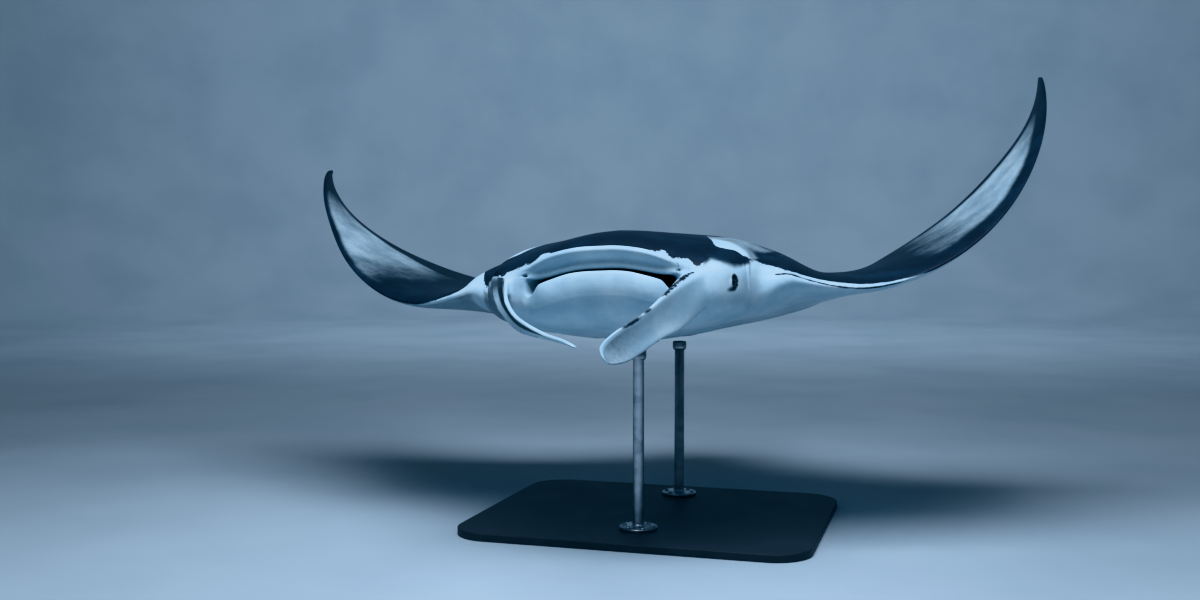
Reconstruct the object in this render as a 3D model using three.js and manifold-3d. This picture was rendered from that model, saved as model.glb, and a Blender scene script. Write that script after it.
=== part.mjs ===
// A reef manta ray at life size, gliding with both wings raised, held on a plain display stand.
// Millimetres, +Z up. The ray faces -Y and its left side is +X. The origin is on the floor under the
// middle of the stand's base. The animal is first modelled level and flat, with its snout at y = 0,
// is cut into its named parts, and every part is then bent and banked into the gliding pose.
import * as THREE from 'three';
import { mergeVertices } from 'three/addons/utils/BufferGeometryUtils.js';
import Module from 'manifold-3d';

const wasm = await Module();
wasm.setup();

// ---------- driving dimensions of the level animal ----------
const HALF_SPAN = 1626;          // middle of the back to a wing tip, laid flat
const DISC_LENGTH = 1480;        // snout to the rear edge of the disc
const BACK_HEIGHT = 161;         // top of the back above the plane of the leading edges
const BELLY_DEPTH = 168;         // lowest belly below that plane
const BACK_REACH = { left: 560, right: 550 };  // how far from the middle the trunk swells over each wing, above
const BELLY_REACH = 680;         // and below
const BACK_FULLNESS = { left: 5, right: 8 };   // how square its shoulder is
const BELLY_FULLNESS = 2;
const WING_THICK = 62;           // height of the wing alone at the middle line, above and below the plane
const EDGE_MARGIN = 3;           // height that the wing keeps out to its tip
const ROOT_HEIGHT = WING_THICK + EDGE_MARGIN;
const HEAD_HALF_WIDTH = 374;     // at the eyes
const HEAD_LENGTH = 282;         // snout to the cut between head and trunk
const WING_ROOT = 400;           // where the wing leaves the trunk
const WING_CUTS = [820, 1250];   // between the inner, middle and tip lengths of a wing
const MOUTH_HALF_WIDTH = 236;
const MOUTH_ARCH = 38;           // how far the corners of the mouth lie below its middle
const MOUTH_LEVEL = 3;           // parting of head and jaw above the front edge
const GAPE = 7;                  // how much further the jaw drops on the way to the corners
const CORNER_HOOK = 14;          // how far the upper lip turns down at the corners
const EDGE_HALF_THICKNESS = 2;   // trailing edge of disc and wings
const EYE_RADIUS = 27;
const EYE_CENTRE = new THREE.Vector3(336, 114, -37);
const TAIL_LENGTH = 1250;
const TAIL_RISE = 190;           // the tail trails level behind the tilted body
const GAP = 0.4;                 // left between parts that touch

// ---------- the gliding pose ----------
const NOSE_UP = 7.8;             // degrees, about the middle of the trunk
const LEFT_WING_UP = 2.6;        // degrees of bank
const PIVOT_Y = 500;             // the point of the trunk that pitch and bank turn about
const RIDE_HEIGHT = 760;         // that point above the floor
const STAND_Y = 660;             // the point of the trunk that stands over the base's middle
// upward slope of the wing from root to tip at every fifth of its length, then its twist at every
// quarter, where a negative twist turns the leading edge down
const WING_POSE = {
  left: { slope: [0, 11, 31, 52, 69, 92], twist: [0, -13, -19, -19, -8] },
  right: { slope: [0, 6, 26, 39, 46, 62], twist: [0, -10, -9, 1, 15] },
};

// ---------- the stand ----------
const BASE_WIDTH = 1100;
const BASE_DEPTH = 900;
const BASE_HEIGHT = 24;
const BASE_CORNER = 120;
const ROD_RADIUS = 17;
const ROD_SPOTS = { front: 430, rear: 980 };
const FLANGE = { radius: 60, height: 12 };
const SADDLE = { radius: 62, height: 22 };

const { lerp, smoothstep, degToRad } = THREE.MathUtils;
const vec = (x, y, z) => new THREE.Vector3(x, y, z);
const curveThrough = (points) => new THREE.SplineCurve(points.map(([x, y]) => new THREE.Vector2(x, y)));

// ---------- plan outline: matching points of the front edge and the rear edge, middle to wing tip ----------
const FRONT_EDGE = curveThrough([
  [0, 0], [110, 4], [200, 18], [270, 42], [331, 78], [HEAD_HALF_WIDTH, 135], [386, 195], [412, 250],
  [500, 274], [655, 318], [850, 390], [1046, 490], [1232, 620], [1400, 762], [1537, 905], [1606, 998],
  [HALF_SPAN, 1049],
]);
const REAR_EDGE = curveThrough([
  [0, DISC_LENGTH], [60, 1478], [110, 1468], [150, 1450], [190, 1425], [235, 1388], [285, 1345], [345, 1290],
  [450, 1220], [616, 1146], [822, 1080], [1028, 1040], [1218, 1016], [1390, 1012], [1532, 1032], [1604, 1058],
  [HALF_SPAN - 1, 1072],
]);
const LAST_STATION = 16;

// ---------- heights above and below the plane of the leading edges ----------
// share of the trunk's height at a place x across it, falling smoothly to nothing at a given reach
const trunkShare = (x, reach, fullness) => Math.max(0, 1 - (x / reach) ** fullness) ** 2;

function backHeight(x, side) {
  const name = side > 0 ? 'left' : 'right';
  const wing = EDGE_MARGIN + WING_THICK * (1 - x / HALF_SPAN) ** 1.5;
  return wing + (BACK_HEIGHT - ROOT_HEIGHT) * trunkShare(x, BACK_REACH[name], BACK_FULLNESS[name]);
}

function bellyDepth(x) {
  const wing = EDGE_MARGIN + WING_THICK * (1 - x / HALF_SPAN) ** 1.7;
  return wing + (BELLY_DEPTH - ROOT_HEIGHT) * trunkShare(x, BELLY_REACH, BELLY_FULLNESS);
}

// height along one chord as a share of its greatest: a rounded nose up to the peak, then a long fall
function chordShare(along, peak, bluntness, rear) {
  if (along < peak) return (1 - (1 - along / peak) ** bluntness) ** (1 / bluntness);
  return rear + (1 - rear) * (1 - ((along - peak) / (1 - peak)) ** 1.35);
}

// the front edge sags from the middle of the mouth to the eyes and comes back up at the wing root
function edgeSag(x) {
  return -MOUTH_ARCH * smoothstep(x, 30, 290) * (1 - smoothstep(x, 400, 500));
}

const cornerHook = (x) => CORNER_HOOK * smoothstep(x, 175, 215);

// The front of the mouth at its middle, as [inward, up] from the front edge. Above the slit: round upper
// lip, hollow band under it, palate, throat. Below it: floor of the mouth, rim and plate of the lower jaw.
const MOUTH_PROFILE = [
  [14, 67], [-6, 65], [-13, 54], [-1, 42], [17, 32], [22, 8], [60, 14], [200, 22],
  [200, -36], [60, -22], [14, -6], [2, -2], [-5, -8], [-7, -26], [-4, -50], [4, -72],
];
const CHORD_STEPS = 9;

function bodySection(station, side) {
  const share = station / LAST_STATION;
  const front = FRONT_EDGE.getPoint(share);
  const rear = REAR_EDGE.getPoint(share);
  const inward = rear.clone().sub(front).normalize();
  const towardWing = smoothstep(front.x, 150, 600);
  const nose = lerp(0.0125, 0.06, smoothstep(front.x, 240, 420));
  const open = 1 - smoothstep(front.x, 172, 222);
  const rearShare = 0.02 + 0.14 * Math.exp(-((rear.x / 70) ** 2));
  const sag = edgeSag(front.x);
  const hook = cornerHook(front.x);
  const jawDrop = 0.35 * hook + GAPE * smoothstep(front.x, 80, 170) * (1 - smoothstep(front.x, 175, 215));

  const surfacePoint = (along, top) => {
    const x = lerp(front.x, rear.x, along);
    const peak = top ? lerp(0.4, 0.3, towardWing) : lerp(0.27, 0.3, towardWing);
    const bluntness = top ? lerp(2.6, 2, towardWing) : lerp(3.2, 2, towardWing);
    const height = top ? backHeight(x, side) : -bellyDepth(x);
    const edge = EDGE_HALF_THICKNESS * smoothstep(along, 0, 0.05) * (top ? 1 : -1);
    const level = sag * (1 - smoothstep(along, 0, 0.3)) + edge;
    const z = level + height * chordShare(along, peak, bluntness, rearShare);
    return vec(x, lerp(front.y, rear.y, along), z);
  };

  const ring = [];
  for (let i = CHORD_STEPS; i > 0; i--) {
    ring.push(surfacePoint(nose + (1 - nose) * (i / CHORD_STEPS) ** 1.6, true));
  }
  const half = MOUTH_PROFILE.length / 2;
  MOUTH_PROFILE.forEach(([back, up], i) => {
    const fromMiddle = i < half ? half - 0.5 - i : i - half + 0.5;
    const plain = surfacePoint(nose * (fromMiddle / half) ** 2, i < half);
    const height = sag + up - (i < half ? hook * smoothstep(i, 3, 5) : jawDrop);
    const lip = vec(front.x + inward.x * back, front.y + inward.y * back, height);
    ring.push(plain.lerp(lip, open));
  });
  for (let i = 1; i <= CHORD_STEPS; i++) {
    ring.push(surfacePoint(nose + (1 - nose) * (i / CHORD_STEPS) ** 1.6, false));
  }
  ring.forEach((p) => {
    p.x *= side;
  });
  return ring;
}

// ---------- meshes ----------
// A closed skin over rings of equal count, capped at both ends by a fan round the ring's middle.
function loft(rings) {
  const count = rings[0].length;
  const positions = [];
  const middleOf = (ring) => ring.reduce((sum, p) => sum.add(p), vec(0, 0, 0)).divideScalar(count);
  const triangle = (...corners) => corners.forEach((p) => positions.push(p.x, p.y, p.z));
  for (let r = 0; r + 1 < rings.length; r++) {
    for (let i = 0; i < count; i++) {
      const j = (i + 1) % count;
      triangle(rings[r][i], rings[r][j], rings[r + 1][j]);
      triangle(rings[r][i], rings[r + 1][j], rings[r + 1][i]);
    }
  }
  const first = rings[0];
  const last = rings[rings.length - 1];
  for (let i = 0; i < count; i++) {
    const j = (i + 1) % count;
    triangle(middleOf(first), first[j], first[i]);
    triangle(middleOf(last), last[i], last[j]);
  }
  const geometry = new THREE.BufferGeometry();
  geometry.setAttribute('position', new THREE.Float32BufferAttribute(positions, 3));
  return geometry;
}

function toSolid(geometry) {
  const bare = geometry.clone();
  bare.deleteAttribute('normal');
  bare.deleteAttribute('uv');
  const merged = mergeVertices(bare, 1e-3);
  const corners = Uint32Array.from(merged.index.array);
  const outward = signedVolume(merged.attributes.position.array, corners) > 0;
  if (!outward) {
    for (let i = 0; i < corners.length; i += 3) {
      [corners[i + 1], corners[i + 2]] = [corners[i + 2], corners[i + 1]];
    }
  }
  const places = Float32Array.from(merged.attributes.position.array);
  return new wasm.Manifold(new wasm.Mesh({ numProp: 3, vertProperties: places, triVerts: corners }));
}

function signedVolume(places, corners) {
  const [a, b, c] = [vec(0, 0, 0), vec(0, 0, 0), vec(0, 0, 0)];
  let sum = 0;
  for (let i = 0; i < corners.length; i += 3) {
    a.fromArray(places, corners[i] * 3);
    b.fromArray(places, corners[i + 1] * 3);
    c.fromArray(places, corners[i + 2] * 3);
    sum += a.dot(b.cross(c));
  }
  return sum;
}

function toGeometry(solid) {
  const mesh = solid.getMesh();
  const geometry = new THREE.BufferGeometry();
  geometry.setAttribute('position', new THREE.BufferAttribute(Float32Array.from(mesh.vertProperties), 3));
  geometry.setIndex(new THREE.BufferAttribute(Uint32Array.from(mesh.triVerts), 1));
  return geometry;
}

function block(low, high) {
  const size = high.clone().sub(low);
  const middle = high.clone().add(low).multiplyScalar(0.5);
  return toSolid(new THREE.BoxGeometry(size.x, size.y, size.z).translate(middle.x, middle.y, middle.z));
}

// ---------- pose ----------
// A smooth curve through evenly spaced values, level at its start.
function easedThrough(values, share) {
  const steps = values.length - 1;
  const at = (i) => {
    if (i < 0) return values[1];
    if (i > steps) return 2 * values[steps] - values[steps - 1];
    return values[i];
  };
  const place = THREE.MathUtils.clamp(share, 0, 1) * steps;
  const i = Math.min(Math.floor(place), steps - 1);
  const f = place - i;
  const [a, b, c, d] = [at(i - 1), at(i), at(i + 1), at(i + 2)];
  return b + 0.5 * f * (c - a + f * (2 * a - 5 * b + 4 * c - d + f * (3 * (b - c) + d - a)));
}

// The wing's bent middle line: flat distance from the root to place across and up, with its slope.
function bentSpan(slopes) {
  const steps = 240;
  const length = HALF_SPAN - WING_ROOT;
  const line = [{ x: WING_ROOT, z: 0, slope: 0 }];
  for (let i = 1; i <= steps; i++) {
    const middle = degToRad(easedThrough(slopes, (i - 0.5) / steps));
    const before = line[i - 1];
    line.push({
      x: before.x + (Math.cos(middle) * length) / steps,
      z: before.z + (Math.sin(middle) * length) / steps,
      slope: degToRad(easedThrough(slopes, i / steps)),
    });
  }
  return (share) => {
    const place = THREE.MathUtils.clamp(share, 0, 1) * steps;
    const i = Math.min(Math.floor(place), steps - 1);
    const f = place - i;
    return {
      x: lerp(line[i].x, line[i + 1].x, f),
      z: lerp(line[i].z, line[i + 1].z, f),
      slope: lerp(line[i].slope, line[i + 1].slope, f),
    };
  };
}

const SPAN_LINES = { left: bentSpan(WING_POSE.left.slope), right: bentSpan(WING_POSE.right.slope) };

// plan edges as heights over x, read from finely stepped curves
const edgeTable = (curve) => curve.getPoints(480);
const EDGE_TABLES = { front: edgeTable(FRONT_EDGE), rear: edgeTable(REAR_EDGE) };

function edgeAt(table, x) {
  let i = 1;
  while (i < table.length - 1 && table[i].x < x) i++;
  const before = table[i - 1];
  const after = table[i];
  const f = THREE.MathUtils.clamp((x - before.x) / (after.x - before.x), 0, 1);
  return lerp(before.y, after.y, f);
}

function bendWing(p) {
  const out = Math.abs(p.x);
  if (out <= WING_ROOT) return p.clone();
  const side = p.x > 0 ? 'left' : 'right';
  const share = (out - WING_ROOT) / (HALF_SPAN - WING_ROOT);
  const line = SPAN_LINES[side](share);
  const twist = degToRad(easedThrough(WING_POSE[side].twist, share));
  const axis = lerp(edgeAt(EDGE_TABLES.front, out), edgeAt(EDGE_TABLES.rear, out), 0.4);
  const back = p.y - axis;
  const y = axis + back * Math.cos(twist) + p.z * Math.sin(twist);
  const lift = p.z * Math.cos(twist) - back * Math.sin(twist);
  const x = line.x - lift * Math.sin(line.slope);
  return vec(Math.sign(p.x) * x, y, line.z + lift * Math.cos(line.slope));
}

function bankBody(p) {
  const pitch = degToRad(NOSE_UP);
  const roll = degToRad(LEFT_WING_UP);
  const back = p.y - PIVOT_Y;
  const y = back * Math.cos(pitch) + p.z * Math.sin(pitch);
  const z = p.z * Math.cos(pitch) - back * Math.sin(pitch);
  const x = p.x * Math.cos(roll) - z * Math.sin(roll);
  const up = p.x * Math.sin(roll) + z * Math.cos(roll);
  return vec(x, y + PIVOT_Y - STAND_Y, up + RIDE_HEIGHT);
}

const posePoint = (p) => bankBody(bendWing(p));

function posed(geometry) {
  const places = geometry.attributes.position;
  const p = vec(0, 0, 0);
  for (let i = 0; i < places.count; i++) {
    p.fromBufferAttribute(places, i);
    const moved = posePoint(p);
    places.setXYZ(i, moved.x, moved.y, moved.z);
  }
  return geometry;
}

// ---------- the level body, and its cutting regions ----------
function stationList() {
  const half = [];
  for (let s = 0; s < 8; s++) half.push(s);
  for (let s = 8; s <= LAST_STATION; s += 0.5) half.push(s);
  const right = half.slice(1).reverse().map((s) => [s, -1]);
  return right.concat(half.map((s) => [s, 1]));
}

const body = toSolid(loft(stationList().map(([station, side]) => bodySection(station, side))));

// everything of the lower jaw: under the arched line of the mouth, inside its corners
function jawRegion(inset) {
  const shape = new THREE.Shape();
  const across = MOUTH_HALF_WIDTH - inset;
  const steps = 20;
  const parting = (x) => edgeSag(x) + MOUTH_LEVEL - 0.8 * cornerHook(x);
  shape.moveTo(-across, -400);
  shape.lineTo(across, -400);
  for (let i = 0; i <= steps; i++) {
    const x = lerp(across, -across, i / steps);
    shape.lineTo(x, parting(Math.abs(x)) - inset);
  }
  shape.closePath();
  const depth = HEAD_LENGTH - inset + 200;
  const geometry = new THREE.ExtrudeGeometry(shape, { depth, bevelEnabled: false });
  geometry.rotateX(Math.PI / 2);
  return toSolid(geometry.translate(0, HEAD_LENGTH - inset, 0));
}

const FAR = 2500;
const headBlock = block(
  vec(-WING_ROOT + GAP / 2, -FAR, -FAR),
  vec(WING_ROOT - GAP / 2, HEAD_LENGTH - GAP / 2, FAR),
);
const trunkBlock = block(
  vec(-WING_ROOT + GAP / 2, HEAD_LENGTH + GAP / 2, -FAR),
  vec(WING_ROOT - GAP / 2, DISC_LENGTH - 12, FAR),
);

function wingBlock(side, from, to) {
  const near = from + GAP / 2;
  const far = to - GAP / 2;
  return block(vec(side > 0 ? near : -far, -FAR, -FAR), vec(side > 0 ? far : -near, FAR, FAR));
}

// ---------- eyes ----------
function eyeSolid(side, radius) {
  const ball = new THREE.SphereGeometry(radius, 16, 10);
  return toSolid(ball.translate(side * EYE_CENTRE.x, EYE_CENTRE.y, EYE_CENTRE.z));
}

// ---------- fins: a thin leaf between two edge curves, thickest in its middle ----------
function leaf(edgeA, edgeB, thickness, steps, cup = 0) {
  const curveA = new THREE.CatmullRomCurve3(edgeA);
  const curveB = new THREE.CatmullRomCurve3(edgeB);
  const rings = [];
  for (let i = 0; i <= steps; i++) {
    const t = 1 - (1 - i / steps) ** 1.25;
    const a = curveA.getPoint(t);
    const b = curveB.getPoint(t);
    const along = curveA.getTangent(t).add(curveB.getTangent(t)).normalize();
    const across = b.clone().sub(a);
    const normal = across.clone().cross(along).normalize();
    const deep = thickness * (1 - 0.75 * t);
    const ring = [];
    for (let k = 0; k < 12; k++) {
      const turn = (k / 12) * 2 * Math.PI;
      const share = 0.5 - 0.5 * Math.cos(turn);
      const lift = 0.5 * deep * Math.sin(turn) + cup * across.length() * (share - share * share);
      ring.push(a.clone().addScaledVector(across, share).addScaledVector(normal, lift));
    }
    rings.push(ring);
  }
  return loft(rings);
}

// The left cephalic fin hangs forward as an open paddle and the right one sweeps in under the jaw, on edge.
const CEPHALIC_FINS = {
  left: {
    upper: [vec(263, 60, -16), vec(237, 2, -16), vec(206, -98, -87), vec(167, -178, -145),
      vec(118, -246, -190), vec(92, -283, -229), vec(103, -292, -264)],
    lower: [vec(300, 130, -66), vec(273, 85, -113), vec(238, 0, -165), vec(202, -86, -197),
      vec(168, -166, -239), vec(146, -227, -264), vec(120, -273, -273)],
    cup: 0.12,
  },
  right: {
    upper: [vec(-285, 60, -24), vec(-275, 8, -32), vec(-256, -28, -76), vec(-212, -64, -128),
      vec(-122, -110, -178), vec(-56, -138, -200), vec(-15, -149, -218)],
    lower: [vec(-318, 118, -26), vec(-332, 68, -38), vec(-309, 42, -86), vec(-228, -8, -160),
      vec(-130, -64, -188), vec(-57, -118, -206), vec(-13, -151, -221)],
    cup: -0.2,
  },
};

function cephalicFin(side) {
  const fin = CEPHALIC_FINS[side];
  return toSolid(leaf(fin.upper, fin.lower, 34, 11, fin.cup));
}

// ---------- tail, dorsal fin and pelvic fins ----------
const TAIL_START = DISC_LENGTH - 12 + GAP;

function tailLength(from, to) {
  const steps = 6;
  const rings = [];
  for (let i = 0; i <= steps; i++) {
    const t = lerp(from, to, i / steps);
    const radius = lerp(24, 4, t ** 0.55);
    const middle = vec(0, TAIL_START + TAIL_LENGTH * t, 1 + TAIL_RISE * t ** 1.25);
    const ring = [];
    for (let k = 0; k < 12; k++) {
      const turn = (k / 12) * 2 * Math.PI;
      ring.push(middle.clone().add(vec(radius * 1.1 * Math.cos(turn), 0, radius * Math.sin(turn))));
    }
    rings.push(ring);
  }
  return toSolid(loft(rings));
}

const dorsalFin = () => toSolid(leaf(
  [vec(0, 1345, 20), vec(0, 1385, 62), vec(0, 1440, 96), vec(0, 1470, 101)],
  [vec(0, 1462, 20), vec(0, 1466, 50), vec(0, 1476, 84), vec(0, 1478, 97)],
  18,
  5,
));

const PELVIC_FIN = {
  inner: [[32, 1390, -22], [48, 1450, -26], [64, 1520, -32], [88, 1562, -38]],
  outer: [[140, 1390, -18], [150, 1450, -22], [146, 1515, -30], [112, 1560, -38]],
};

function pelvicFin(side) {
  const edge = (points) => points.map(([x, y, z]) => vec(side * x, y, z));
  return toSolid(leaf(edge(PELVIC_FIN.inner), edge(PELVIC_FIN.outer), 20, 6));
}

// ---------- stand ----------
function roundedPlate(width, depth, height, corner) {
  const [w, d] = [width / 2, depth / 2];
  const shape = new THREE.Shape();
  shape.moveTo(-w + corner, -d);
  shape.lineTo(w - corner, -d);
  shape.absarc(w - corner, -d + corner, corner, -Math.PI / 2, 0);
  shape.lineTo(w, d - corner);
  shape.absarc(w - corner, d - corner, corner, 0, Math.PI / 2);
  shape.lineTo(-w + corner, d);
  shape.absarc(-w + corner, d - corner, corner, Math.PI / 2, Math.PI);
  shape.lineTo(-w, -d + corner);
  shape.absarc(-w + corner, -d + corner, corner, Math.PI, 1.5 * Math.PI);
  return new THREE.ExtrudeGeometry(shape, { depth: height, bevelEnabled: false, curveSegments: 8 });
}

function upright(radius, from, to, x, y) {
  const geometry = new THREE.CylinderGeometry(radius, radius, to - from, 28);
  return toSolid(geometry.rotateX(Math.PI / 2).translate(x, y, (from + to) / 2));
}

// depth of the belly on the middle line
const keelDepth = (y) => bellyDepth(0) * chordShare(y / DISC_LENGTH, 0.27, 3.2, 0.16);
const keelPoint = (y) => posePoint(vec(0, y, -keelDepth(y)));

// A rod with a foot on the base and a saddle under the belly, trimmed to the belly's shape.
function standRod(spot, trunk) {
  const touch = keelPoint(spot);
  const alongKeel = keelPoint(spot + 40).sub(keelPoint(spot - 40));
  const acrossKeel = posePoint(vec(1, spot, 0)).sub(posePoint(vec(0, spot, 0)));
  const saddle = new THREE.CylinderGeometry(SADDLE.radius, SADDLE.radius, SADDLE.height, 28);
  saddle.applyQuaternion(
    new THREE.Quaternion().setFromUnitVectors(vec(0, 1, 0), acrossKeel.cross(alongKeel).normalize()),
  );
  saddle.translate(touch.x, touch.y, touch.z);
  const footTop = BASE_HEIGHT + GAP + FLANGE.height;
  return upright(ROD_RADIUS, BASE_HEIGHT + GAP, touch.z, touch.x, touch.y)
    .add(upright(FLANGE.radius, BASE_HEIGHT + GAP, footTop, touch.x, touch.y))
    .add(toSolid(saddle))
    .subtract(trunk.translate([0, 0, -GAP]));
}

// ---------- colours ----------
const SKIN = {
  back: { color: 0x18222b, roughness: 0.55 },
  pale: { color: 0xd3dde0, roughness: 0.5 },
  eye: { color: 0x101418, roughness: 0.15 },
};
const STAND = {
  base: { color: 0x2b2d30, roughness: 0.6, metalness: 0.1 },
  rod: { color: 0xb9bcc0, roughness: 0.3, metalness: 1 },
};

const manta = new THREE.Group();

function addPart(name, geometry, look) {
  const mesh = new THREE.Mesh(geometry, new THREE.MeshStandardMaterial(look));
  mesh.name = name;
  manta.add(mesh);
}

const addFlesh = (name, solid, look) => addPart(name, posed(toGeometry(solid)), look);

// ---------- assembly ----------
const eyeSockets = eyeSolid(1, EYE_RADIUS + GAP).add(eyeSolid(-1, EYE_RADIUS + GAP));
const wholeHead = body.intersect(headBlock).subtract(eyeSockets);
const head = wholeHead.subtract(jawRegion(0));
const jaw = wholeHead.intersect(jawRegion(GAP));
const headGrown = (x, y, z) => wholeHead.translate([x, y, z]);
const nearHead = headGrown(0, -GAP, 0).add(headGrown(0, 0, -GAP)).add(wholeHead).add(eyeSockets);
const clearOfHead = (fin, side) => fin.subtract(nearHead.add(headGrown(side * GAP, 0, 0)));

addFlesh('head', head, SKIN.back);
addFlesh('lower_jaw', jaw, SKIN.pale);
addFlesh('eye_left', eyeSolid(1, EYE_RADIUS), SKIN.eye);
addFlesh('eye_right', eyeSolid(-1, EYE_RADIUS), SKIN.eye);
addFlesh('cephalic_fin_left', clearOfHead(cephalicFin('left'), 1), SKIN.pale);
addFlesh('cephalic_fin_right', clearOfHead(cephalicFin('right'), -1), SKIN.pale);

const trunk = body.intersect(trunkBlock);
addFlesh('trunk', trunk, SKIN.back);
for (const [name, side] of [['left', 1], ['right', -1]]) {
  const cuts = [WING_ROOT, ...WING_CUTS, FAR];
  ['inner', 'middle', 'tip'].forEach((length, i) => {
    addFlesh(`wing_${name}_${length}`, body.intersect(wingBlock(side, cuts[i], cuts[i + 1])), SKIN.pale);
  });
  const below = trunk.translate([0, 0, -GAP]).add(trunk.translate([0, GAP, 0])).add(trunk);
  addFlesh(`pelvic_fin_${name}`, pelvicFin(side).subtract(below), SKIN.back);
}
addFlesh('dorsal_fin', dorsalFin().subtract(trunk.translate([0, 0, GAP]).add(trunk)), SKIN.back);
[['base', 0, 0.3], ['middle', 0.3, 0.64], ['tip', 0.64, 1]].forEach(([name, from, to]) => {
  addFlesh(`tail_${name}`, tailLength(from + (from > 0 ? GAP / TAIL_LENGTH : 0), to), SKIN.back);
});

addPart('stand_base', roundedPlate(BASE_WIDTH, BASE_DEPTH, BASE_HEIGHT, BASE_CORNER), STAND.base);
const posedTrunk = toSolid(posed(toGeometry(trunk)));
for (const [name, spot] of Object.entries(ROD_SPOTS)) {
  addPart(`stand_rod_${name}`, toGeometry(standRod(spot, posedTrunk)), STAND.rod);
}

export default manta;
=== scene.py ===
"""A life-size reef manta ray, gliding with raised wings, held on a plain display stand.

The animal is shaped level and flat, in millimetres, with its snout at y = 0, its left side at +x and
its back at +z. Every point is then bent and banked into the gliding pose and turned to metres.
"""

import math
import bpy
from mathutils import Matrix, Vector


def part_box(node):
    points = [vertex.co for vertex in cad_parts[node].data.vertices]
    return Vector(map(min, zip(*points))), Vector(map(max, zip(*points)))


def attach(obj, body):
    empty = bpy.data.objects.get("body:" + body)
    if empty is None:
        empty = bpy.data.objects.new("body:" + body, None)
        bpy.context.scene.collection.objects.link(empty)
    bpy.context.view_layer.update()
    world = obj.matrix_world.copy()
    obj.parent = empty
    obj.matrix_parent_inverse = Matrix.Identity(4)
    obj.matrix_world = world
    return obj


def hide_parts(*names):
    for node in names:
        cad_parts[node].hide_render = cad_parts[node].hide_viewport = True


bl_info = {
    "name": "Manta Ray Display Model",
    "version": (1, 0, 0),
    "blender": (4, 5, 0),
    "location": "3D View > Sidebar > Manta Ray",
    "description": "Builds the skin, eyes, stand and studio of a life-size manta ray model",
    "category": "Object",
}

import bpy
import numpy as np
from mathutils import Matrix, Vector

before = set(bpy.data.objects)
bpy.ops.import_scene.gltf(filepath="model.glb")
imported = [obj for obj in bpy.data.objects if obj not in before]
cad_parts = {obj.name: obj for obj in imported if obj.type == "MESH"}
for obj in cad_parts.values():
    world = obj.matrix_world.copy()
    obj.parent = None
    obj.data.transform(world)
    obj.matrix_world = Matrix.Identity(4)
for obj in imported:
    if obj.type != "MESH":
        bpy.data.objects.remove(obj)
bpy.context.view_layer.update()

MM = 0.001
SIDES = {"left": 1, "right": -1}
FLESH = ["head", "lower_jaw", "trunk", "dorsal_fin", "tail_base", "tail_middle", "tail_tip"]
FLESH += [f"{fin}_{side}" for fin in ("cephalic_fin", "pelvic_fin") for side in SIDES]
FLESH += [f"wing_{side}_{length}" for side in SIDES for length in ("inner", "middle", "tip")]

# ---------- the level animal ----------
HALF_SPAN = 1626          # middle of the back to a wing tip, laid flat
DISC_LENGTH = 1480        # snout to the rear edge of the disc
BACK_HEIGHT = 161         # top of the back above the plane of the leading edges
BELLY_DEPTH = 168         # lowest belly below that plane
BACK_REACH = {1: 560, -1: 550}     # how far from the middle the trunk swells over each wing, above
BELLY_REACH = 680         # and below
BACK_FULLNESS = {1: 5, -1: 8}      # how square its shoulder is
WING_THICK = 62           # height of the wing alone at the middle line, above and below the plane
EDGE_MARGIN = 3           # height that the wing keeps out to its tip
ROOT_HEIGHT = WING_THICK + EDGE_MARGIN
WING_ROOT = 400           # where the wing leaves the trunk
MOUTH_ARCH = 38           # how far the corners of the mouth lie below its middle
GAPE = 7                  # how much further the jaw drops on the way to the corners
CORNER_HOOK = 14          # how far the upper lip turns down at the corners
EDGE_HALF_THICKNESS = 2   # trailing edge of disc and wings
BACK_CHORD = (0.4, 2.6)   # where along its chord the trunk is highest, and how blunt it is before that
BELLY_CHORD = (0.27, 3.2)
WING_CHORD = (0.3, 2)
REAR_SHARE = 0.02         # share of the height that is left at the rear edge
TAIL_ROOT_SHARE = 0.14    # and how much more where the tail starts
TAIL_ROOT_REACH = 70
EYE_CENTRE = (336, 114, -37)
EYE_RADIUS = 27
EYE_INSET = 0.5           # how far the eyeball keeps inside that
TAIL_START = DISC_LENGTH - 12
TAIL_LENGTH = 1250
TAIL_RISE = 190           # the tail trails level behind the tilted body

# ---------- the gliding pose, in degrees and millimetres ----------
NOSE_UP = 7.8
LEFT_WING_UP = 2.6
PIVOT_Y = 500             # the point of the trunk that pitch and bank turn about
RIDE_HEIGHT = 760         # that point above the floor
STAND_Y = 660             # the point of the trunk that stands over the base's middle
WING_SLOPE = {1: (0, 11, 31, 52, 69, 92), -1: (0, 6, 26, 39, 46, 62)}
WING_TWIST = {1: (0, -13, -19, -19, -8), -1: (0, -10, -9, 1, 15)}
ROD_SPOTS = {"front": 430, "rear": 980}     # where the posts touch the belly's middle line
# sizes of the stand, in metres
PLATE_CORNER = 0.12       # radius of the base plate's corners
FILLET = 0.012            # between a post's foot and its tube
SADDLE_DEPTH = 0.02       # from the top of a post up to the belly
SEAT_DEPTH = 0.011        # from the underside of a saddle up to the belly's plane
SCREW_SIDES = 24

# matching places of the front and rear edges of the disc, numbered from the middle to the wing tip
FRONT_EDGE = np.array([
    (0, 0), (110, 4), (200, 18), (270, 42), (331, 78), (374, 135), (386, 195), (412, 250), (500, 274),
    (655, 318), (850, 390), (1046, 490), (1232, 620), (1400, 762), (1537, 905), (1606, 998), (1626, 1049),
], float)
REAR_EDGE = np.array([
    (0, 1480), (60, 1478), (110, 1468), (150, 1450), (190, 1425), (235, 1388), (285, 1345), (345, 1290),
    (450, 1220), (616, 1146), (822, 1080), (1028, 1040), (1218, 1016), (1390, 1012), (1532, 1032),
    (1604, 1058), (1625, 1072),
], float)
LAST_PLACE = len(FRONT_EDGE) - 1

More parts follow.
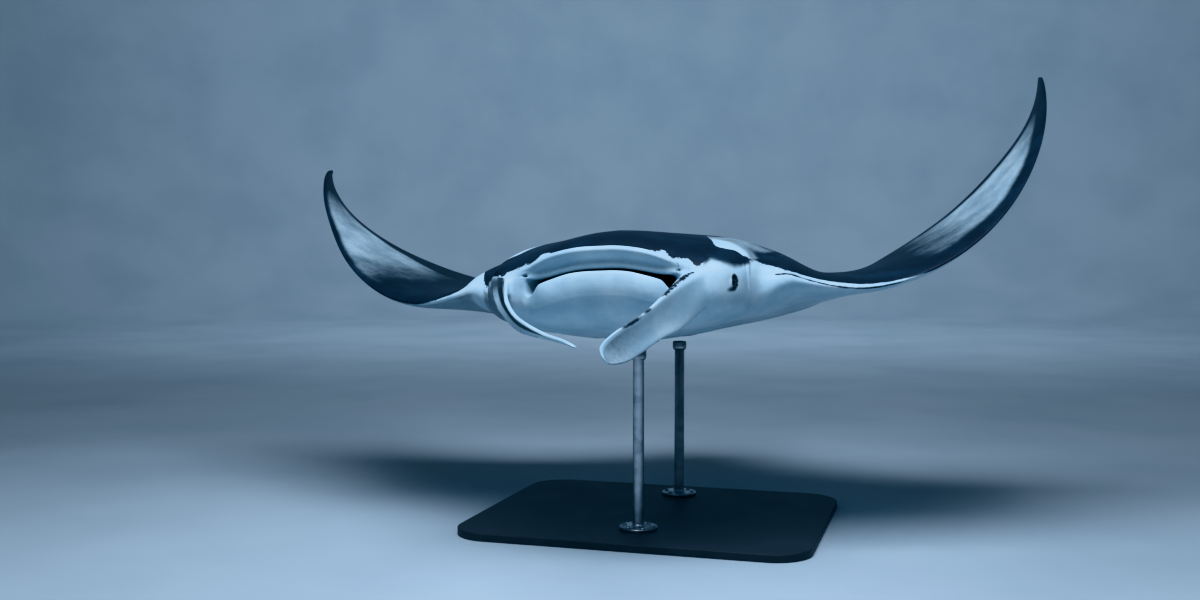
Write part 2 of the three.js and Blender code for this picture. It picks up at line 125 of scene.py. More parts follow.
# The front of the mouth at its middle, as inward and up from the front edge. Above the slit: round upper
# lip, hollow band under it, palate, throat. Below it: floor of the mouth, rim and plate of the lower jaw.
MOUTH_PROFILE = np.array([
    (14, 67), (-6, 65), (-13, 54), (-1, 42), (17, 32), (22, 8), (60, 14), (200, 22),
    (200, -36), (60, -22), (14, -6), (2, -2), (-5, -8), (-7, -26), (-4, -50), (4, -72),
], float)
LAST_TURN = len(MOUTH_PROFILE) - 1
THROAT_TURN = LAST_TURN / 2
MOUTH_CORNER = (172, 222)     # where the open mouth closes, from the middle out


# ---------- curves ----------
def smoothstep(value, low, high):
    share = np.clip((value - low) / (high - low), 0, 1)
    return share * share * (3 - 2 * share)


def falling(value, low, high):
    """One at the low value and before it, falling smoothly to nothing at the high one."""
    return 1 - smoothstep(value, low, high)


def mix(a, b, share):
    return a + (b - a) * share


def bump(value, middle, reach):
    """One at the middle, falling smoothly to nothing at the reach either side."""
    return falling(np.abs(value - middle), 0, reach)


def spline(points, place):
    """Smooth curve through evenly numbered points, read at any place between 0 and the last number."""
    last = len(points) - 1
    place = np.clip(place, 0, last)
    i = np.minimum(place.astype(int), last - 1)
    f = (place - i)[..., None]
    before, start = points[np.maximum(i - 1, 0)], points[i]
    end, after = points[i + 1], points[np.minimum(i + 2, last)]
    leave, arrive = (end - before) / 2, (after - start) / 2
    cubic = 2 * start - 2 * end + leave + arrive
    square = 3 * end - 3 * start - 2 * leave - arrive
    return cubic * f**3 + square * f**2 + leave * f + start


def eased_through(values, share):
    """Smooth curve through evenly spaced values, level at its start."""
    steps = len(values) - 1
    padded = np.array([values[1], *values, 2 * values[-1] - values[-2]], float)
    place = np.clip(share, 0, 1) * steps
    i = np.minimum(place.astype(int), steps - 1)
    f = place - i
    a, b, c, d = padded[i], padded[i + 1], padded[i + 2], padded[i + 3]
    return b + 0.5 * f * (c - a + f * (2 * a - 5 * b + 4 * c - d + f * (3 * (b - c) + d - a)))


def crowded(count, *crowds):
    """Places from 0 to 1, closer together round each crowd's middle, within its width, by its gain."""
    fine = np.linspace(0, 1, 2001)
    density = 1 + sum(gain * np.exp(-(((fine - middle) / width) ** 2)) for middle, width, gain in crowds)
    travelled = np.concatenate([[0], np.cumsum(density[1:] + density[:-1])])
    return np.interp(np.linspace(0, 1, count), travelled / travelled[-1], fine)


# ---------- the disc: trunk, wings and head ----------
def back_height(x, side):
    reach = np.where(side > 0, BACK_REACH[1], BACK_REACH[-1])
    fullness = np.where(side > 0, BACK_FULLNESS[1], BACK_FULLNESS[-1])
    trunk = np.maximum(0, 1 - (x / reach) ** fullness) ** 2
    return EDGE_MARGIN + WING_THICK * (1 - x / HALF_SPAN) ** 1.5 + (BACK_HEIGHT - ROOT_HEIGHT) * trunk


def belly_depth(x):
    trunk = np.maximum(0, 1 - (x / BELLY_REACH) ** 2) ** 2
    return EDGE_MARGIN + WING_THICK * (1 - x / HALF_SPAN) ** 1.7 + (BELLY_DEPTH - ROOT_HEIGHT) * trunk


def chord_share(along, peak, bluntness, rear):
    """Height along one chord: a rounded nose up to the peak, then a long fall to the rear edge."""
    rise = (1 - np.clip(1 - along / peak, 0, 1) ** bluntness) ** (1 / bluntness)
    fall = rear + (1 - rear) * (1 - np.clip((along - peak) / (1 - peak), 0, 1) ** 1.35)
    return np.where(along < peak, rise, fall)


def edge_sag(x):
    return -MOUTH_ARCH * smoothstep(x, 30, 290) * falling(x, 400, 500)


def surface_point(place, along, top, side=1):
    """A point of the back or belly, at a numbered place across and a share of the chord behind the nose."""
    front, rear = spline(FRONT_EDGE, place), spline(REAR_EDGE, place)
    x = mix(front[..., 0], rear[..., 0], along)
    wing = smoothstep(front[..., 0], 150, 600)
    rear_share = REAR_SHARE + TAIL_ROOT_SHARE * np.exp(-((rear[..., 0] / TAIL_ROOT_REACH) ** 2))

    def share_of_height(trunk):
        peak, bluntness = (mix(a, b, wing) for a, b in zip(trunk, WING_CHORD))
        return chord_share(along, peak, bluntness, rear_share)

    up = share_of_height(BACK_CHORD) * back_height(x, side)
    down = share_of_height(BELLY_CHORD) * belly_depth(x)
    edge = EDGE_HALF_THICKNESS * smoothstep(along, 0, 0.05)
    sag = edge_sag(front[..., 0]) * falling(along, 0, 0.3)
    z = sag + np.where(top, up + edge, -down - edge)
    return np.stack([x, mix(front[..., 1], rear[..., 1], along), z], -1)


def nose_share(place):
    """Share of the chord that the turn round the front edge takes."""
    return mix(0.0125, 0.06, smoothstep(spline(FRONT_EDGE, place)[..., 0], 240, 420))


def mouth_open(place):
    return falling(spline(FRONT_EDGE, place)[..., 0], *MOUTH_CORNER)


def lip_full(place):
    """How much of the upper lip's roll there is: it thins long before the corner of the mouth."""
    return falling(spline(FRONT_EDGE, place)[..., 0], 120, 264)


def front_point(place, turn, side=1):
    """A point of the turn round the front edge: 0 on the back, the last on the belly, throat between."""
    front, rear = spline(FRONT_EDGE, place), spline(REAR_EDGE, place)
    inward = (rear - front) / np.linalg.norm(rear - front, axis=-1, keepdims=True)
    along = nose_share(place) * ((turn - THROAT_TURN) / (THROAT_TURN + 0.5)) ** 2
    plain = surface_point(place, along, turn < THROAT_TURN, side)
    back, up = np.moveaxis(spline(MOUTH_PROFILE, turn), -1, 0)
    hook = CORNER_HOOK * smoothstep(front[..., 0], 175, 215)
    gape = GAPE * smoothstep(front[..., 0], 80, 170) * falling(front[..., 0], 175, 215)
    drop = mix(hook * smoothstep(turn, 3, 5), gape + 0.35 * hook, smoothstep(turn, 7, 8))
    height = edge_sag(front[..., 0]) + up - drop
    lip = np.concatenate([front + inward * back[..., None], height[..., None]], -1)
    roll = falling(turn, 2, 6)
    return mix(plain, lip, mix(mouth_open(place), lip_full(place), roll)[..., None])


HEAD_COLUMNS = 13         # columns of faces between two numbered places, out to the wing root
EYE_COLUMNS = 24          # round the eye
WING_COLUMNS = 11         # and beyond the wing root
HEAD_PLACES = 8
EYE_PLACES = (3, 4)
BACK_ROWS = crowded(51, (0, 0.06, 3.5), (1, 0.05, 1.5))[1:]
BELLY_ROWS = crowded(79, (0, 0.05, 3), (0.235, 0.075, 5), (1, 0.05, 1.5))[1:]
TURN_ROWS = np.linspace(0, LAST_TURN, 52)
REAR_ROWS = np.linspace(0, 1, 7)[1:-1]


def disc_places():
    """Numbered places of all columns, from the right wing tip, negative, to the left one."""
    half = [np.zeros(1)]
    for place in range(LAST_PLACE):
        columns = HEAD_COLUMNS if place < HEAD_PLACES else WING_COLUMNS
        columns = EYE_COLUMNS if place in EYE_PLACES else columns
        half.append(place + np.linspace(0, 1, columns + 1)[1:])
    half = np.concatenate(half)
    return np.concatenate([-half[:0:-1], half])


def level_disc(places):
    """Rings round the disc, one for each column: over the back, round the front, under the belly."""
    side = np.sign(places + 1e-9)
    place = np.abs(places)[:, None]

    def sheet(rows):
        return np.broadcast_arrays(place, rows[None])

    def chord_sheet(rows, top):
        across, share = sheet(rows)
        nose = nose_share(across)
        return surface_point(across, nose + (1 - nose) * share, top, side[:, None])

    back = chord_sheet(BACK_ROWS[::-1], True)
    belly = chord_sheet(BELLY_ROWS, False)
    low, high = belly[:, -1:], back[:, :1]
    turn = REAR_ROWS[None, :, None]
    rear = mix(low, high, turn)
    rear[..., 1] += 0.3 * (high - low)[..., 2] * np.sin(math.pi * turn[..., 0])
    disc = np.concatenate([back, front_point(*sheet(TURN_ROWS), side[:, None]), belly, rear], 1)
    disc[..., 0] *= side[:, None]
    return disc


# ---------- relief of the head and belly ----------
# soft swellings and hollows: middle, reach, height
SWELLINGS = [
    ((329, 92, 6), 44, 10),      # brow over and before the eye
    ((392, 262, 24), 46, 8),     # shoulder knob behind the crease
    ((300, 96, -70), 60, 7),     # cheek under the brow
    ((196, 22, -62), 46, -7),    # hollow beside the jaw plate
    ((160, 14, -58), 40, 6),     # soft pad at the corner of the jaw
    ((300, 150, 48), 50, -3),    # trough of the back behind the brow
]
# folds in the skin: their line, depth, half width
FOLDS = [
    ([(362, 226, 44), (371, 200, 30), (377, 184, 8), (381, 177, -18), (382, 182, -52)], 6, 7),
    ([(296, 125, -62), (316, 115, -72), (334, 118, -78), (352, 132, -76)], 3.5, 6),
    ([(212, 28, -46), (216, 34, -68), (208, 46, -94)], 5, 8),
]
NOSTRIL = {"place": 2.3, "turn": 4.1, "half_width": 9, "half_height": 5, "depth": 9}
GILL_SLITS = 5
GILL_FIRST_Y = 340
GILL_STEP = 60
GILL_BOW = 26             # how far a slit's ends lie behind its middle
GILL_HALF_WIDTH = 5
GILL_DEPTH = 11

EYE_OPENING = np.array([0.943, -0.33, 0.05]) / np.linalg.norm([0.943, -0.33, 0.05])
EYE_AFT = np.cross([0, 0, 1], EYE_OPENING)
EYE_AFT /= np.linalg.norm(EYE_AFT)
EYE_UP = np.cross(EYE_OPENING, EYE_AFT)
LID = {"half_width": 12, "half_height": 18, "proud": 2.6, "skirt_slope": 1.15, "blend": 9}
MOUND_REACH = (44, 58)    # where the mound round the eye starts and ends its fall to the plain skin


def side_signs(places):
    """For each column a factor that folds the right half on to the left one, and back again."""
    return np.where(places < 0, -1, 1)[:, None, None] ** np.array([1, 0, 0])


def nostril_middle():
    return front_point(np.array([[NOSTRIL["place"]]]), np.array([[NOSTRIL["turn"]]]))[0, 0]


def ring_normals(disc):
    """Outward normals of a disc of rings, even where it bends sharply."""
    across = np.gradient(disc, axis=0)
    around = np.roll(disc, -1, 1) - np.roll(disc, 1, 1)
    normal = np.cross(around, across)
    return normal / np.maximum(np.linalg.norm(normal, axis=-1, keepdims=True), 1e-9)


def line_distance(points, line):
    """Distance of every point from a line of points, and its place along it from 0 to 1."""
    line = np.array(line, float)
    spans = np.linalg.norm(np.diff(line, axis=0), axis=1)
    starts = np.concatenate([[0], np.cumsum(spans)])
    nearest = np.full(points.shape[:-1], np.inf)
    share = np.zeros(points.shape[:-1])
    for a, b, span, start in zip(line[:-1], line[1:], spans, starts):
        f = np.clip((points - a) @ (b - a) / span**2, 0, 1)
        distance = np.linalg.norm(points - a - f[..., None] * (b - a), axis=-1)
        closer = distance < nearest
        nearest = np.where(closer, distance, nearest)
        share = np.where(closer, (start + f * span) / starts[-1], share)
    return nearest, share


def gill_offsets(near):
    """Distance fore or aft of each gill slit, and how much of a slit there is at that place across."""
    for i in range(GILL_SLITS):
        inner, outer = 96 + 7 * i, 300 - 20 * i
        middle, half = (inner + outer) / 2, (outer - inner) / 2
        bow = GILL_BOW * ((near[..., 0] - middle) / 100) ** 2
        length = falling(np.abs(near[..., 0] - middle), half - 26, half)
        yield near[..., 1] - (GILL_FIRST_Y + GILL_STEP * i + bow), length


def eye_frame(near):
    offset = near - np.array(EYE_CENTRE, float)
    return offset @ EYE_AFT, offset @ EYE_UP, offset @ EYE_OPENING


def raise_eye_mound(near):
    """Skin drawn over the eyeball in a round mound, open in an ellipse that the eye looks out of."""
    aft, up, out = eye_frame(near)
    reach = np.hypot(aft, up)
    cover = EYE_RADIUS + LID["proud"]
    ball = np.sqrt(np.maximum(cover**2 - reach**2, 0))
    slope_start = 0.8 * cover
    skirt = 0.6 * cover - (reach - slope_start) * LID["skirt_slope"]
    mound = np.where(reach < slope_start, ball, skirt)
    blend = LID["blend"]
    rise = mound + np.maximum(blend - np.abs(out - mound), 0) ** 2 / (4 * blend)
    raised = np.where(out > mound, np.maximum(out, rise), rise)
    opening = np.hypot(aft / LID["half_width"], up / LID["half_height"])
    inside = np.sqrt(np.maximum((EYE_RADIUS - 6) ** 2 - reach**2, 0))
    raised = mix(inside, raised, smoothstep(opening, 0.92, 1.06))
    here = (out > -6) & (reach < MOUND_REACH[1])
    height = np.where(here, mix(raised, out, smoothstep(reach, *MOUND_REACH)), out)
    return near + (height - out)[..., None] * EYE_OPENING


def relieve(disc, places):
    """The disc with its brow, cheeks, folds, nostrils, eye mounds and gill slits."""
    side = side_signs(places)
    normal = ring_normals(disc) * side
    near = disc * side
    height = np.zeros(near.shape[:2])
    for middle, reach, rise in SWELLINGS:
        height += rise * np.exp(-((np.linalg.norm(near - middle, axis=-1) / reach) ** 2))
    for line, depth, half_width in FOLDS:
        distance, share = line_distance(near, line)
        ends = smoothstep(share, 0, 0.25) * falling(share, 0.75, 1)
        height -= depth * ends * np.exp(-((distance / half_width) ** 2))
        height += 0.3 * depth * ends * np.exp(-(((distance - 2 * half_width) / half_width) ** 2))
    offset = near - nostril_middle()
    oval = np.hypot(offset[..., 0] / NOSTRIL["half_width"], offset[..., 2] / NOSTRIL["half_height"])
    oval = oval + np.abs(offset[..., 1]) / 14
    height -= NOSTRIL["depth"] * falling(oval, 0.5, 1.15) - 1.6 * bump(oval, 1.5, 0.7)
    under = (np.arange(near.shape[1]) > len(BACK_ROWS) + len(TURN_ROWS))[None]
    for offset, length in gill_offsets(near):
        slit = np.exp(-((offset / GILL_HALF_WIDTH) ** 2))
        flap = np.exp(-(((offset + 2.2 * GILL_HALF_WIDTH) / (1.7 * GILL_HALF_WIDTH)) ** 2))
        height += under * length * (4 * flap - GILL_DEPTH * slit)
    near = raise_eye_mound(near + height[..., None] * normal)
    return near * side


# ---------- fins and tail, grown out of the disc ----------
# Two edge curves of each fin, from root to tip; the numbered places across and the turns or shares of
# the chord that its root spans; and the share of its length from which its own rings follow the curves.
# A cup above zero hollows the fin's face.
CEPHALIC_FINS = {
    1: {
        "upper": [(263, 60, -16), (237, 2, -16), (206, -98, -87), (167, -178, -145), (118, -246, -190),
                  (92, -283, -229), (103, -292, -264)],
        "lower": [(300, 130, -66), (273, 85, -113), (238, 0, -165), (202, -86, -197), (168, -166, -239),
                  (146, -227, -264), (120, -273, -273)],
        "cup": 0.12,
        "places": (2.46, 3.3), "rows": (4.4, 15), "leaves": 0.125, "thins_by": 0.42,
    },
    -1: {
        "upper": [(-285, 60, -24), (-275, 8, -32), (-256, -28, -76), (-212, -64, -128),
                  (-122, -110, -178), (-56, -138, -200), (-15, -149, -218)],
        "lower": [(-318, 118, -26), (-332, 68, -38), (-309, 42, -86), (-228, -8, -160),
                  (-130, -64, -188), (-57, -118, -206), (-13, -151, -221)],
        "cup": -0.32,
        "places": (-4.12, -3.0), "rows": (4.2, 9.2), "leaves": 0.1, "thins_by": 0.24,
    },
}
FIN_THICK = 34
LEAF_ROUNDS = 0.93        # share of a fin's length where its tip starts to round off
DORSAL_FIN = {
    "upper": [(0, 1345, 20), (0, 1385, 62), (0, 1440, 96), (0, 1470, 101)],
    "lower": [(0, 1462, 20), (0, 1466, 50), (0, 1476, 84), (0, 1478, 97)],
    "rows": (0.985, 0.905), "leaves": 0.16,
}
PELVIC_FIN = {
    "upper": [(32, 1390, -22), (48, 1450, -26), (64, 1520, -32), (88, 1562, -38)],
    "lower": [(140, 1390, -18), (150, 1450, -22), (146, 1515, -30), (112, 1560, -38)],
    "places": (0.62, 2.45), "rows": (0.945, 0.968), "leaves": 0.28,
}


class Skin:
    """The growing skin: its points and faces, and which organ each point is on, how far out and round."""

    def __init__(self, disc, places):
        self.columns, self.rows = disc.shape[:2]
        self.number = np.arange(self.columns * self.rows).reshape(self.columns, self.rows)
        self.points = disc.reshape(-1, 3)
        self.removed = np.zeros((self.columns - 1, self.rows), bool)
        self.places = places
        self.faces = []
        self.organ = np.full(len(self.points), "disc", dtype="<U12")
        self.out = np.zeros(len(self.points))
        self.round = np.zeros(len(self.points))

    def add_points(self, points, organ, out, turn):
        first = len(self.points)
        count = len(points)
        self.points = np.concatenate([self.points, points])
        self.organ = np.concatenate([self.organ, np.full(count, organ)])
        self.out = np.concatenate([self.out, np.full(count, out)])
        self.round = np.concatenate([self.round, np.broadcast_to(turn, count)])
        return first + np.arange(count)

    def bridge(self, near, far):
        after = np.roll(near, -1), np.roll(far, -1)
        self.faces.append(np.stack([near, after[0], after[1], far], 1))

    def cap(self, ring, organ):
        tip = self.add_points(self.points[ring].mean(0)[None], organ, 1, 0)
        centre = np.full(len(ring), tip[0])
        self.faces.append(np.stack([ring, np.roll(ring, -1), centre, centre], 1))

    def open_block(self, column_span, row_span):
        """Take out a block of faces and give the loop of points round it."""
        (c0, c1), (r0, r1) = column_span, row_span
        rows = np.arange(r0, r1) % self.rows
        self.removed[c0:c1, rows] = True
        walk = [(c0, r) for r in range(r0, r1)] + [(c, r1) for c in range(c0, c1)]
        walk += [(c1, r) for r in range(r1, r0, -1)] + [(c, r0) for c in range(c1, c0, -1)]
        return np.array([self.number[c, r % self.rows] for c, r in walk])

    def grow(self, organ, loop, ring_at, steps, across, normal, settle):
        """Rings from the loop out to the tip, following ring_at(share, turn), rounded off at the root."""
        root = self.points[loop]
        offset = root - root.mean(0)
        side, rise = offset @ across, offset @ normal
        turn = np.unwrap(np.arctan2(rise / np.abs(rise).max(), -side / np.abs(side).max()))
        way = np.sign(turn[-1] - turn[0])
        even = way * np.linspace(0, 2 * math.pi, len(loop), endpoint=False)
        even += (turn - even).mean()
        ring = loop
        first = len(self.points)
        for i, share in enumerate(steps[1:], 1):
            angle = mix(turn, even, float(smoothstep(i, 0, 10)))
            points = mix(root, ring_at(share, angle), float(smoothstep(i, 0, settle)))
            following = self.add_points(points, organ, share, angle)
            self.bridge(ring, following)
            ring = following
        self.cap(ring, organ)
        return np.arange(first, first + len(loop) * settle)

    def grid_faces(self):
        kept = ~self.removed
        round_on = np.roll(self.number, -1, 1)
        return np.stack([self.number[:-1], round_on[:-1], round_on[1:], self.number[1:]], -1)[kept]

    def all_faces(self):
        return np.concatenate([self.grid_faces(), *self.faces])

    def soften(self, chosen, rounds):
        """Draw the chosen points towards the middle of their neighbours."""
        faces = self.all_faces()
        ends = np.stack([faces, np.roll(faces, -1, 1)], -1).reshape(-1, 2)
        ends = ends[ends[:, 0] != ends[:, 1]]
        ends = np.concatenate([ends, ends[:, ::-1]])
        ends = ends[chosen[ends[:, 0]]]
        count = np.bincount(ends[:, 0], minlength=len(self.points))
        for _ in range(rounds):
            axes = self.points[ends[:, 1]].T
            total = np.stack([np.bincount(ends[:, 0], axis, len(self.points)) for axis in axes], 1)
            self.points[chosen] += 0.5 * (total[chosen] / count[chosen, None] - self.points[chosen])


def unit(vector):
    return vector / np.linalg.norm(vector)


def leaf_steps(first, count):
    """Shares of a fin's length from its root on, crowded in its rounded tip."""
    along = mix(first, LEAF_ROUNDS, np.linspace(0, 1, count) ** 0.9)
    return np.concatenate([along, mix(LEAF_ROUNDS, 1, np.sin(np.linspace(0, 1.33, 8)[1:]))])


def leaf_frame(fin, share):
    """Both edges of a fin at a share of its length, with its normal there."""
    place = np.array([share])
    curves = [np.array(fin[edge], float) for edge in ("upper", "lower")]
    last = len(curves[0]) - 1
    a, b = (spline(curve, place * last)[0] for curve in curves)
    step = 0.01
    tangents = [spline(c, (place + step) * last)[0] - spline(c, (place - step) * last)[0] for c in curves]
    along = unit(unit(tangents[0]) + unit(tangents[1]))
    return a, b - a, unit(np.cross(b - a, along))


def leaf_ring(fin, share, turn, web, rim, cup=0):
    """Points round a fin: thin web, thick beaded rims."""
    start, across, normal = leaf_frame(fin, share)
    rounded = math.sqrt(1 - max(0, (share - LEAF_ROUNDS) / (1 - LEAF_ROUNDS)) ** 2)
    over = 0.5 - 0.5 * rounded * np.cos(turn)
    lift = np.sin(turn) * (web + rim * np.abs(np.cos(turn)) ** 3)
    lift += cup * np.linalg.norm(across) * (over - over * over)
    return start + np.outer(over, across) + np.outer(lift, normal)


def tail_ring(share, turn):
    radius = mix(24, 4, share**0.55)
    ring = np.zeros((len(turn), 3))
    ring[:, 0] = -1.1 * radius * np.cos(turn)
    ring[:, 1] = TAIL_START + TAIL_LENGTH * share
    ring[:, 2] = 1 + TAIL_RISE * share**1.25 + radius * np.sin(turn)
    return ring


def grow_cephalic_fin(skin, side):
    fin = CEPHALIC_FINS[side]
    columns = [int(np.abs(skin.places - place).argmin()) for place in fin["places"]]
    rows = [len(BACK_ROWS) + int(np.abs(TURN_ROWS - turn).argmin()) for turn in fin["rows"]]

    def ring_at(share, turn):
        fade = 1 - 0.62 * share
        thinned = float(smoothstep(share, fin["leaves"], fin["thins_by"]))
        web = mix(0.44 * FIN_THICK, 4.5, thinned) * fade
        rim = mix(2, 18, thinned) * fade
        return leaf_ring(fin, share, turn, web, rim, fin["cup"])

    _, across, normal = leaf_frame(fin, fin["leaves"])
    steps = leaf_steps(fin["leaves"], 50)
    loop = skin.open_block(columns, rows)
    return loop, skin.grow("fin", loop, ring_at, steps, unit(across), normal, 12)


def grow_tail(skin):
    middle = int(np.abs(skin.places).argmin())
    last = len(BACK_ROWS) + len(TURN_ROWS) + len(BELLY_ROWS) - 1
    loop = skin.open_block((middle - 5, middle + 5), (last, skin.rows))
    steps = np.concatenate([np.linspace(0.006, 0.1, 14), np.linspace(0.1, 1, 70)[1:]])
    across, up = np.array([1, 0, 0]), np.array([0, 0, 1])
    return loop, skin.grow("tail", loop, tail_ring, steps, across, up, 9)


def grow_pelvic_fin(skin, side):
    fin, mirror = PELVIC_FIN, np.array([side, 1, 1])
    first = len(BACK_ROWS) + len(TURN_ROWS)
    rows = [first + int(np.abs(BELLY_ROWS - share).argmin()) for share in fin["rows"]]
    columns = sorted(int(np.abs(skin.places - side * place).argmin()) for place in fin["places"])

    def ring_at(share, turn):
        return leaf_ring(fin, share, turn, 6 * (1 - 0.7 * share), 2) * mirror

    _, across, normal = leaf_frame(fin, 0.3)
    loop = skin.open_block(columns, rows)
    steps = leaf_steps(fin["leaves"], 18)
    return loop, skin.grow("pelvic", loop, ring_at, steps, unit(across) * mirror, normal * mirror, 7)


def grow_dorsal_fin(skin):
    fin, middle = DORSAL_FIN, int(np.abs(skin.places).argmin())
    rows = [int(np.abs(BACK_ROWS[::-1] - share).argmin()) for share in fin["rows"]]
    loop = skin.open_block((middle - 2, middle + 2), rows)

    def ring_at(share, turn):
        return leaf_ring(fin, share, turn, 8 * (1 - 0.6 * share), 0)

    _, across, normal = leaf_frame(fin, 0.3)
    return loop, skin.grow("dorsal", loop, ring_at, leaf_steps(fin["leaves"], 14), unit(across), normal, 5)


# ---------- markings ----------
# How far the pale front of the head and wings reaches back over the top, at numbered places across:
# round the lip, a dark wedge beside it, the pale brow, and the dark leading edge of the wing.
BACK_BORDER = {
    1: [(0, 32), (0.6, 36), (1.3, 46), (1.85, 56), (2.3, 72), (2.6, 70), (2.85, 48), (2.97, 42), (3.15, 58),
        (3.46, 86), (3.92, 70), (4.46, 64), (4.9, 76), (5.3, 92), (5.6, 98), (6.3, 116), (7, 104),
        (7.35, 84), (7.6, 56), (7.8, 32), (8.2, 27), (8.8, 24), (9.4, 10), (10, -6), (11, -14), (16, -12)],
    -1: [(0, 32), (0.7, 34), (1.3, 56), (1.92, 74), (2.5, 68), (3.0, 56), (3.54, 38), (4.3, 28), (5, 24),
         (7.3, 24), (7.46, 38), (7.6, 62), (7.7, 88), (7.8, 108), (7.87, 92), (7.95, 58), (8.1, 22),
         (8.45, 8), (8.8, 3), (9.3, -8), (10, -14), (16, -12)],
}
# painted shadow: a thin dark line under the white leading edge of the left wing root, as far behind that
# edge
ROOT_SHADOW_LINE = [(7.3, 34), (7.6, 24), (8.1, 11), (8.7, 3), (9.6, -4), (16, -4)]
# width of the crisp dark hem along the trailing edge, and of the soft dusk beside it
HEM = [(7, -20), (8.5, 4), (10, 12), (13, 16), (15, 34), (16, 60)]
HEM_DUSK = [(0, 0), (8, 10), (10, 26), (13, 70), (14.5, 110), (16, 200)]
# white shoulder patch, crisp in front and fading behind, on the plan of the left half
SHOULDER_PATCH = np.array([
    (286, 199), (300, 196), (321, 206), (340, 224), (361, 221), (374, 240), (386, 330), (414, 400),
    (440, 470), (452, 560), (420, 650), (330, 560), (264, 440), (236, 330), (250, 294), (273, 244),
], float)
PATCH_TIP = (312, 212)
RIGHT_PATCH_OUT = 12      # how much further out the right patch lies
ROOT_SHADOW_LINE_HALF_WIDTH = 3.2
ALWAYS_WHITE = -60        # a border so far below zero that no wander reaches it
DARK_TIP = 1560           # from here on the wing is black
# pale field over the outer wing: how white it is at places along the span, in millimetres, and how far
# it keeps from the trailing edge of the right wing
WING_FIELD = [(600, 0), (760, 0.18), (900, 0.36), (1020, 0.52), (1120, 0.6), (1240, 0.6), (1350, 0.54),
              (1430, 0.46), (1500, 0.36), (1560, 0.2), (1620, 0)]
RIGHT_REAR_MARGIN = [(620, 220), (850, 150), (1050, 76), (1230, 34), (1400, 18)]


def table(pairs, place):
    places, values = zip(*pairs)
    return np.interp(place, places, values)


def inside_outline(outline, x, y):
    """Distance inside a closed outline, negative outside it."""
    nearest = np.full(x.shape, np.inf)
    crossings = np.zeros(x.shape, int)
    for (ax, ay), (bx, by) in zip(outline, np.roll(outline, -1, 0)):
        f = np.clip(((x - ax) * (bx - ax) + (y - ay) * (by - ay)) / ((bx - ax) ** 2 + (by - ay) ** 2), 0, 1)
        nearest = np.minimum(nearest, np.hypot(x - ax - f * (bx - ax), y - ay - f * (by - ay)))
        rising = (ay > y) != (by > y)
        cut = ax + (y - ay) / np.where(by == ay, 1, by - ay) * (bx - ax)
        crossings += rising & (x < cut)
    return np.where(crossings % 2 == 1, nearest, -nearest)


def front_arc(disc, places):
    """Length round each ring from the front edge, or from the lip where the mouth opens. It is above 0 on
    the back."""
    lengths = np.linalg.norm(np.diff(disc, axis=1), axis=-1)
    arc = np.concatenate([np.zeros((len(disc), 1)), np.cumsum(lengths, 1)], 1)
    turn = mix(THROAT_TURN, 2.2, mouth_open(np.abs(places)))
    row = len(BACK_ROWS) + turn / LAST_TURN * (len(TURN_ROWS) - 1)
    start = [np.interp(at, np.arange(arc.shape[1]), line) for at, line in zip(row, arc)]
    return np.array(start)[:, None] - arc


class DiscPlaces:
    """Where each point of the disc lies, with its right half folded on to the left one."""

    def __init__(self, disc, places):
        row = np.arange(disc.shape[1])[None] + np.zeros((len(disc), 1))
        self.left = (places >= 0)[:, None]
        self.place = np.abs(places)[:, None] + 0 * row
        self.turn = (row - len(BACK_ROWS)) / (len(TURN_ROWS) - 1) * LAST_TURN
        self.under = row > len(BACK_ROWS) + len(TURN_ROWS) / 2
        self.belly = self.turn > LAST_TURN
        self.near = disc * side_signs(places)
        self.x, self.y = np.abs(disc[..., 0]), disc[..., 1]
        self.arc = front_arc(disc, places)
        self.before_rear = spline(REAR_EDGE, self.place)[..., 1] - self.y
        self.reach = np.where(self.left, *(table(BACK_BORDER[side], self.place) for side in (1, -1)))
        self.patch = inside_outline(SHOULDER_PATCH, self.x - RIGHT_PATCH_OUT * ~self.left, self.y)
        self.aft_eye, self.above_eye, self.out_eye = eye_frame(self.near)
        self.lids = np.hypot(self.aft_eye / LID["half_width"], self.above_eye / LID["half_height"])


def crisp_border(at):
    """Millimetres inside the crisp edge of the black skin, below zero on the white."""
    border = at.arc - at.reach
    border = np.where(at.under & (at.turn < LAST_TURN) & (at.place < 8), np.minimum(border, -9), border)
    border = np.where((at.turn >= LAST_TURN) & (at.place < 8.5), ALWAYS_WHITE, border)
    border = np.where(at.under, border, np.minimum(border, -at.patch))
    # a thin painted shadow under the left wing root's white leading edge, drawn as part of the black
    there = smoothstep(at.place, 7.3, 7.5) * falling(at.place, 9.5, 10.3)
    line = (ROOT_SHADOW_LINE_HALF_WIDTH - np.abs(at.arc - table(ROOT_SHADOW_LINE, at.place))) * there - 20 * (1 - there)
    border = np.maximum(border, np.where(at.left, line, ALWAYS_WHITE))
    border = np.maximum(border, table(HEM, at.place) - at.before_rear)
    return np.maximum(border, at.x - DARK_TIP + 0.25 * (at.y - 1000))


def wing_fields(at):
    """How white the upper side of the outer wings is."""
    field = table(WING_FIELD, at.x + 0.16 * (at.y - 700))
    front_margin = np.where(at.left, 22, -8) * (1 + 0.3 * np.sin(at.x / 70))
    rear_margin = np.where(at.left, 8, table(RIGHT_REAR_MARGIN, at.x))
    front_width = np.where(at.left, 76, 50)
    field = field * smoothstep(np.maximum(0, at.arc), front_margin, front_margin + front_width)
    field = field * smoothstep(at.before_rear, rear_margin, rear_margin + 60)
    return np.where(at.under, 0, field)


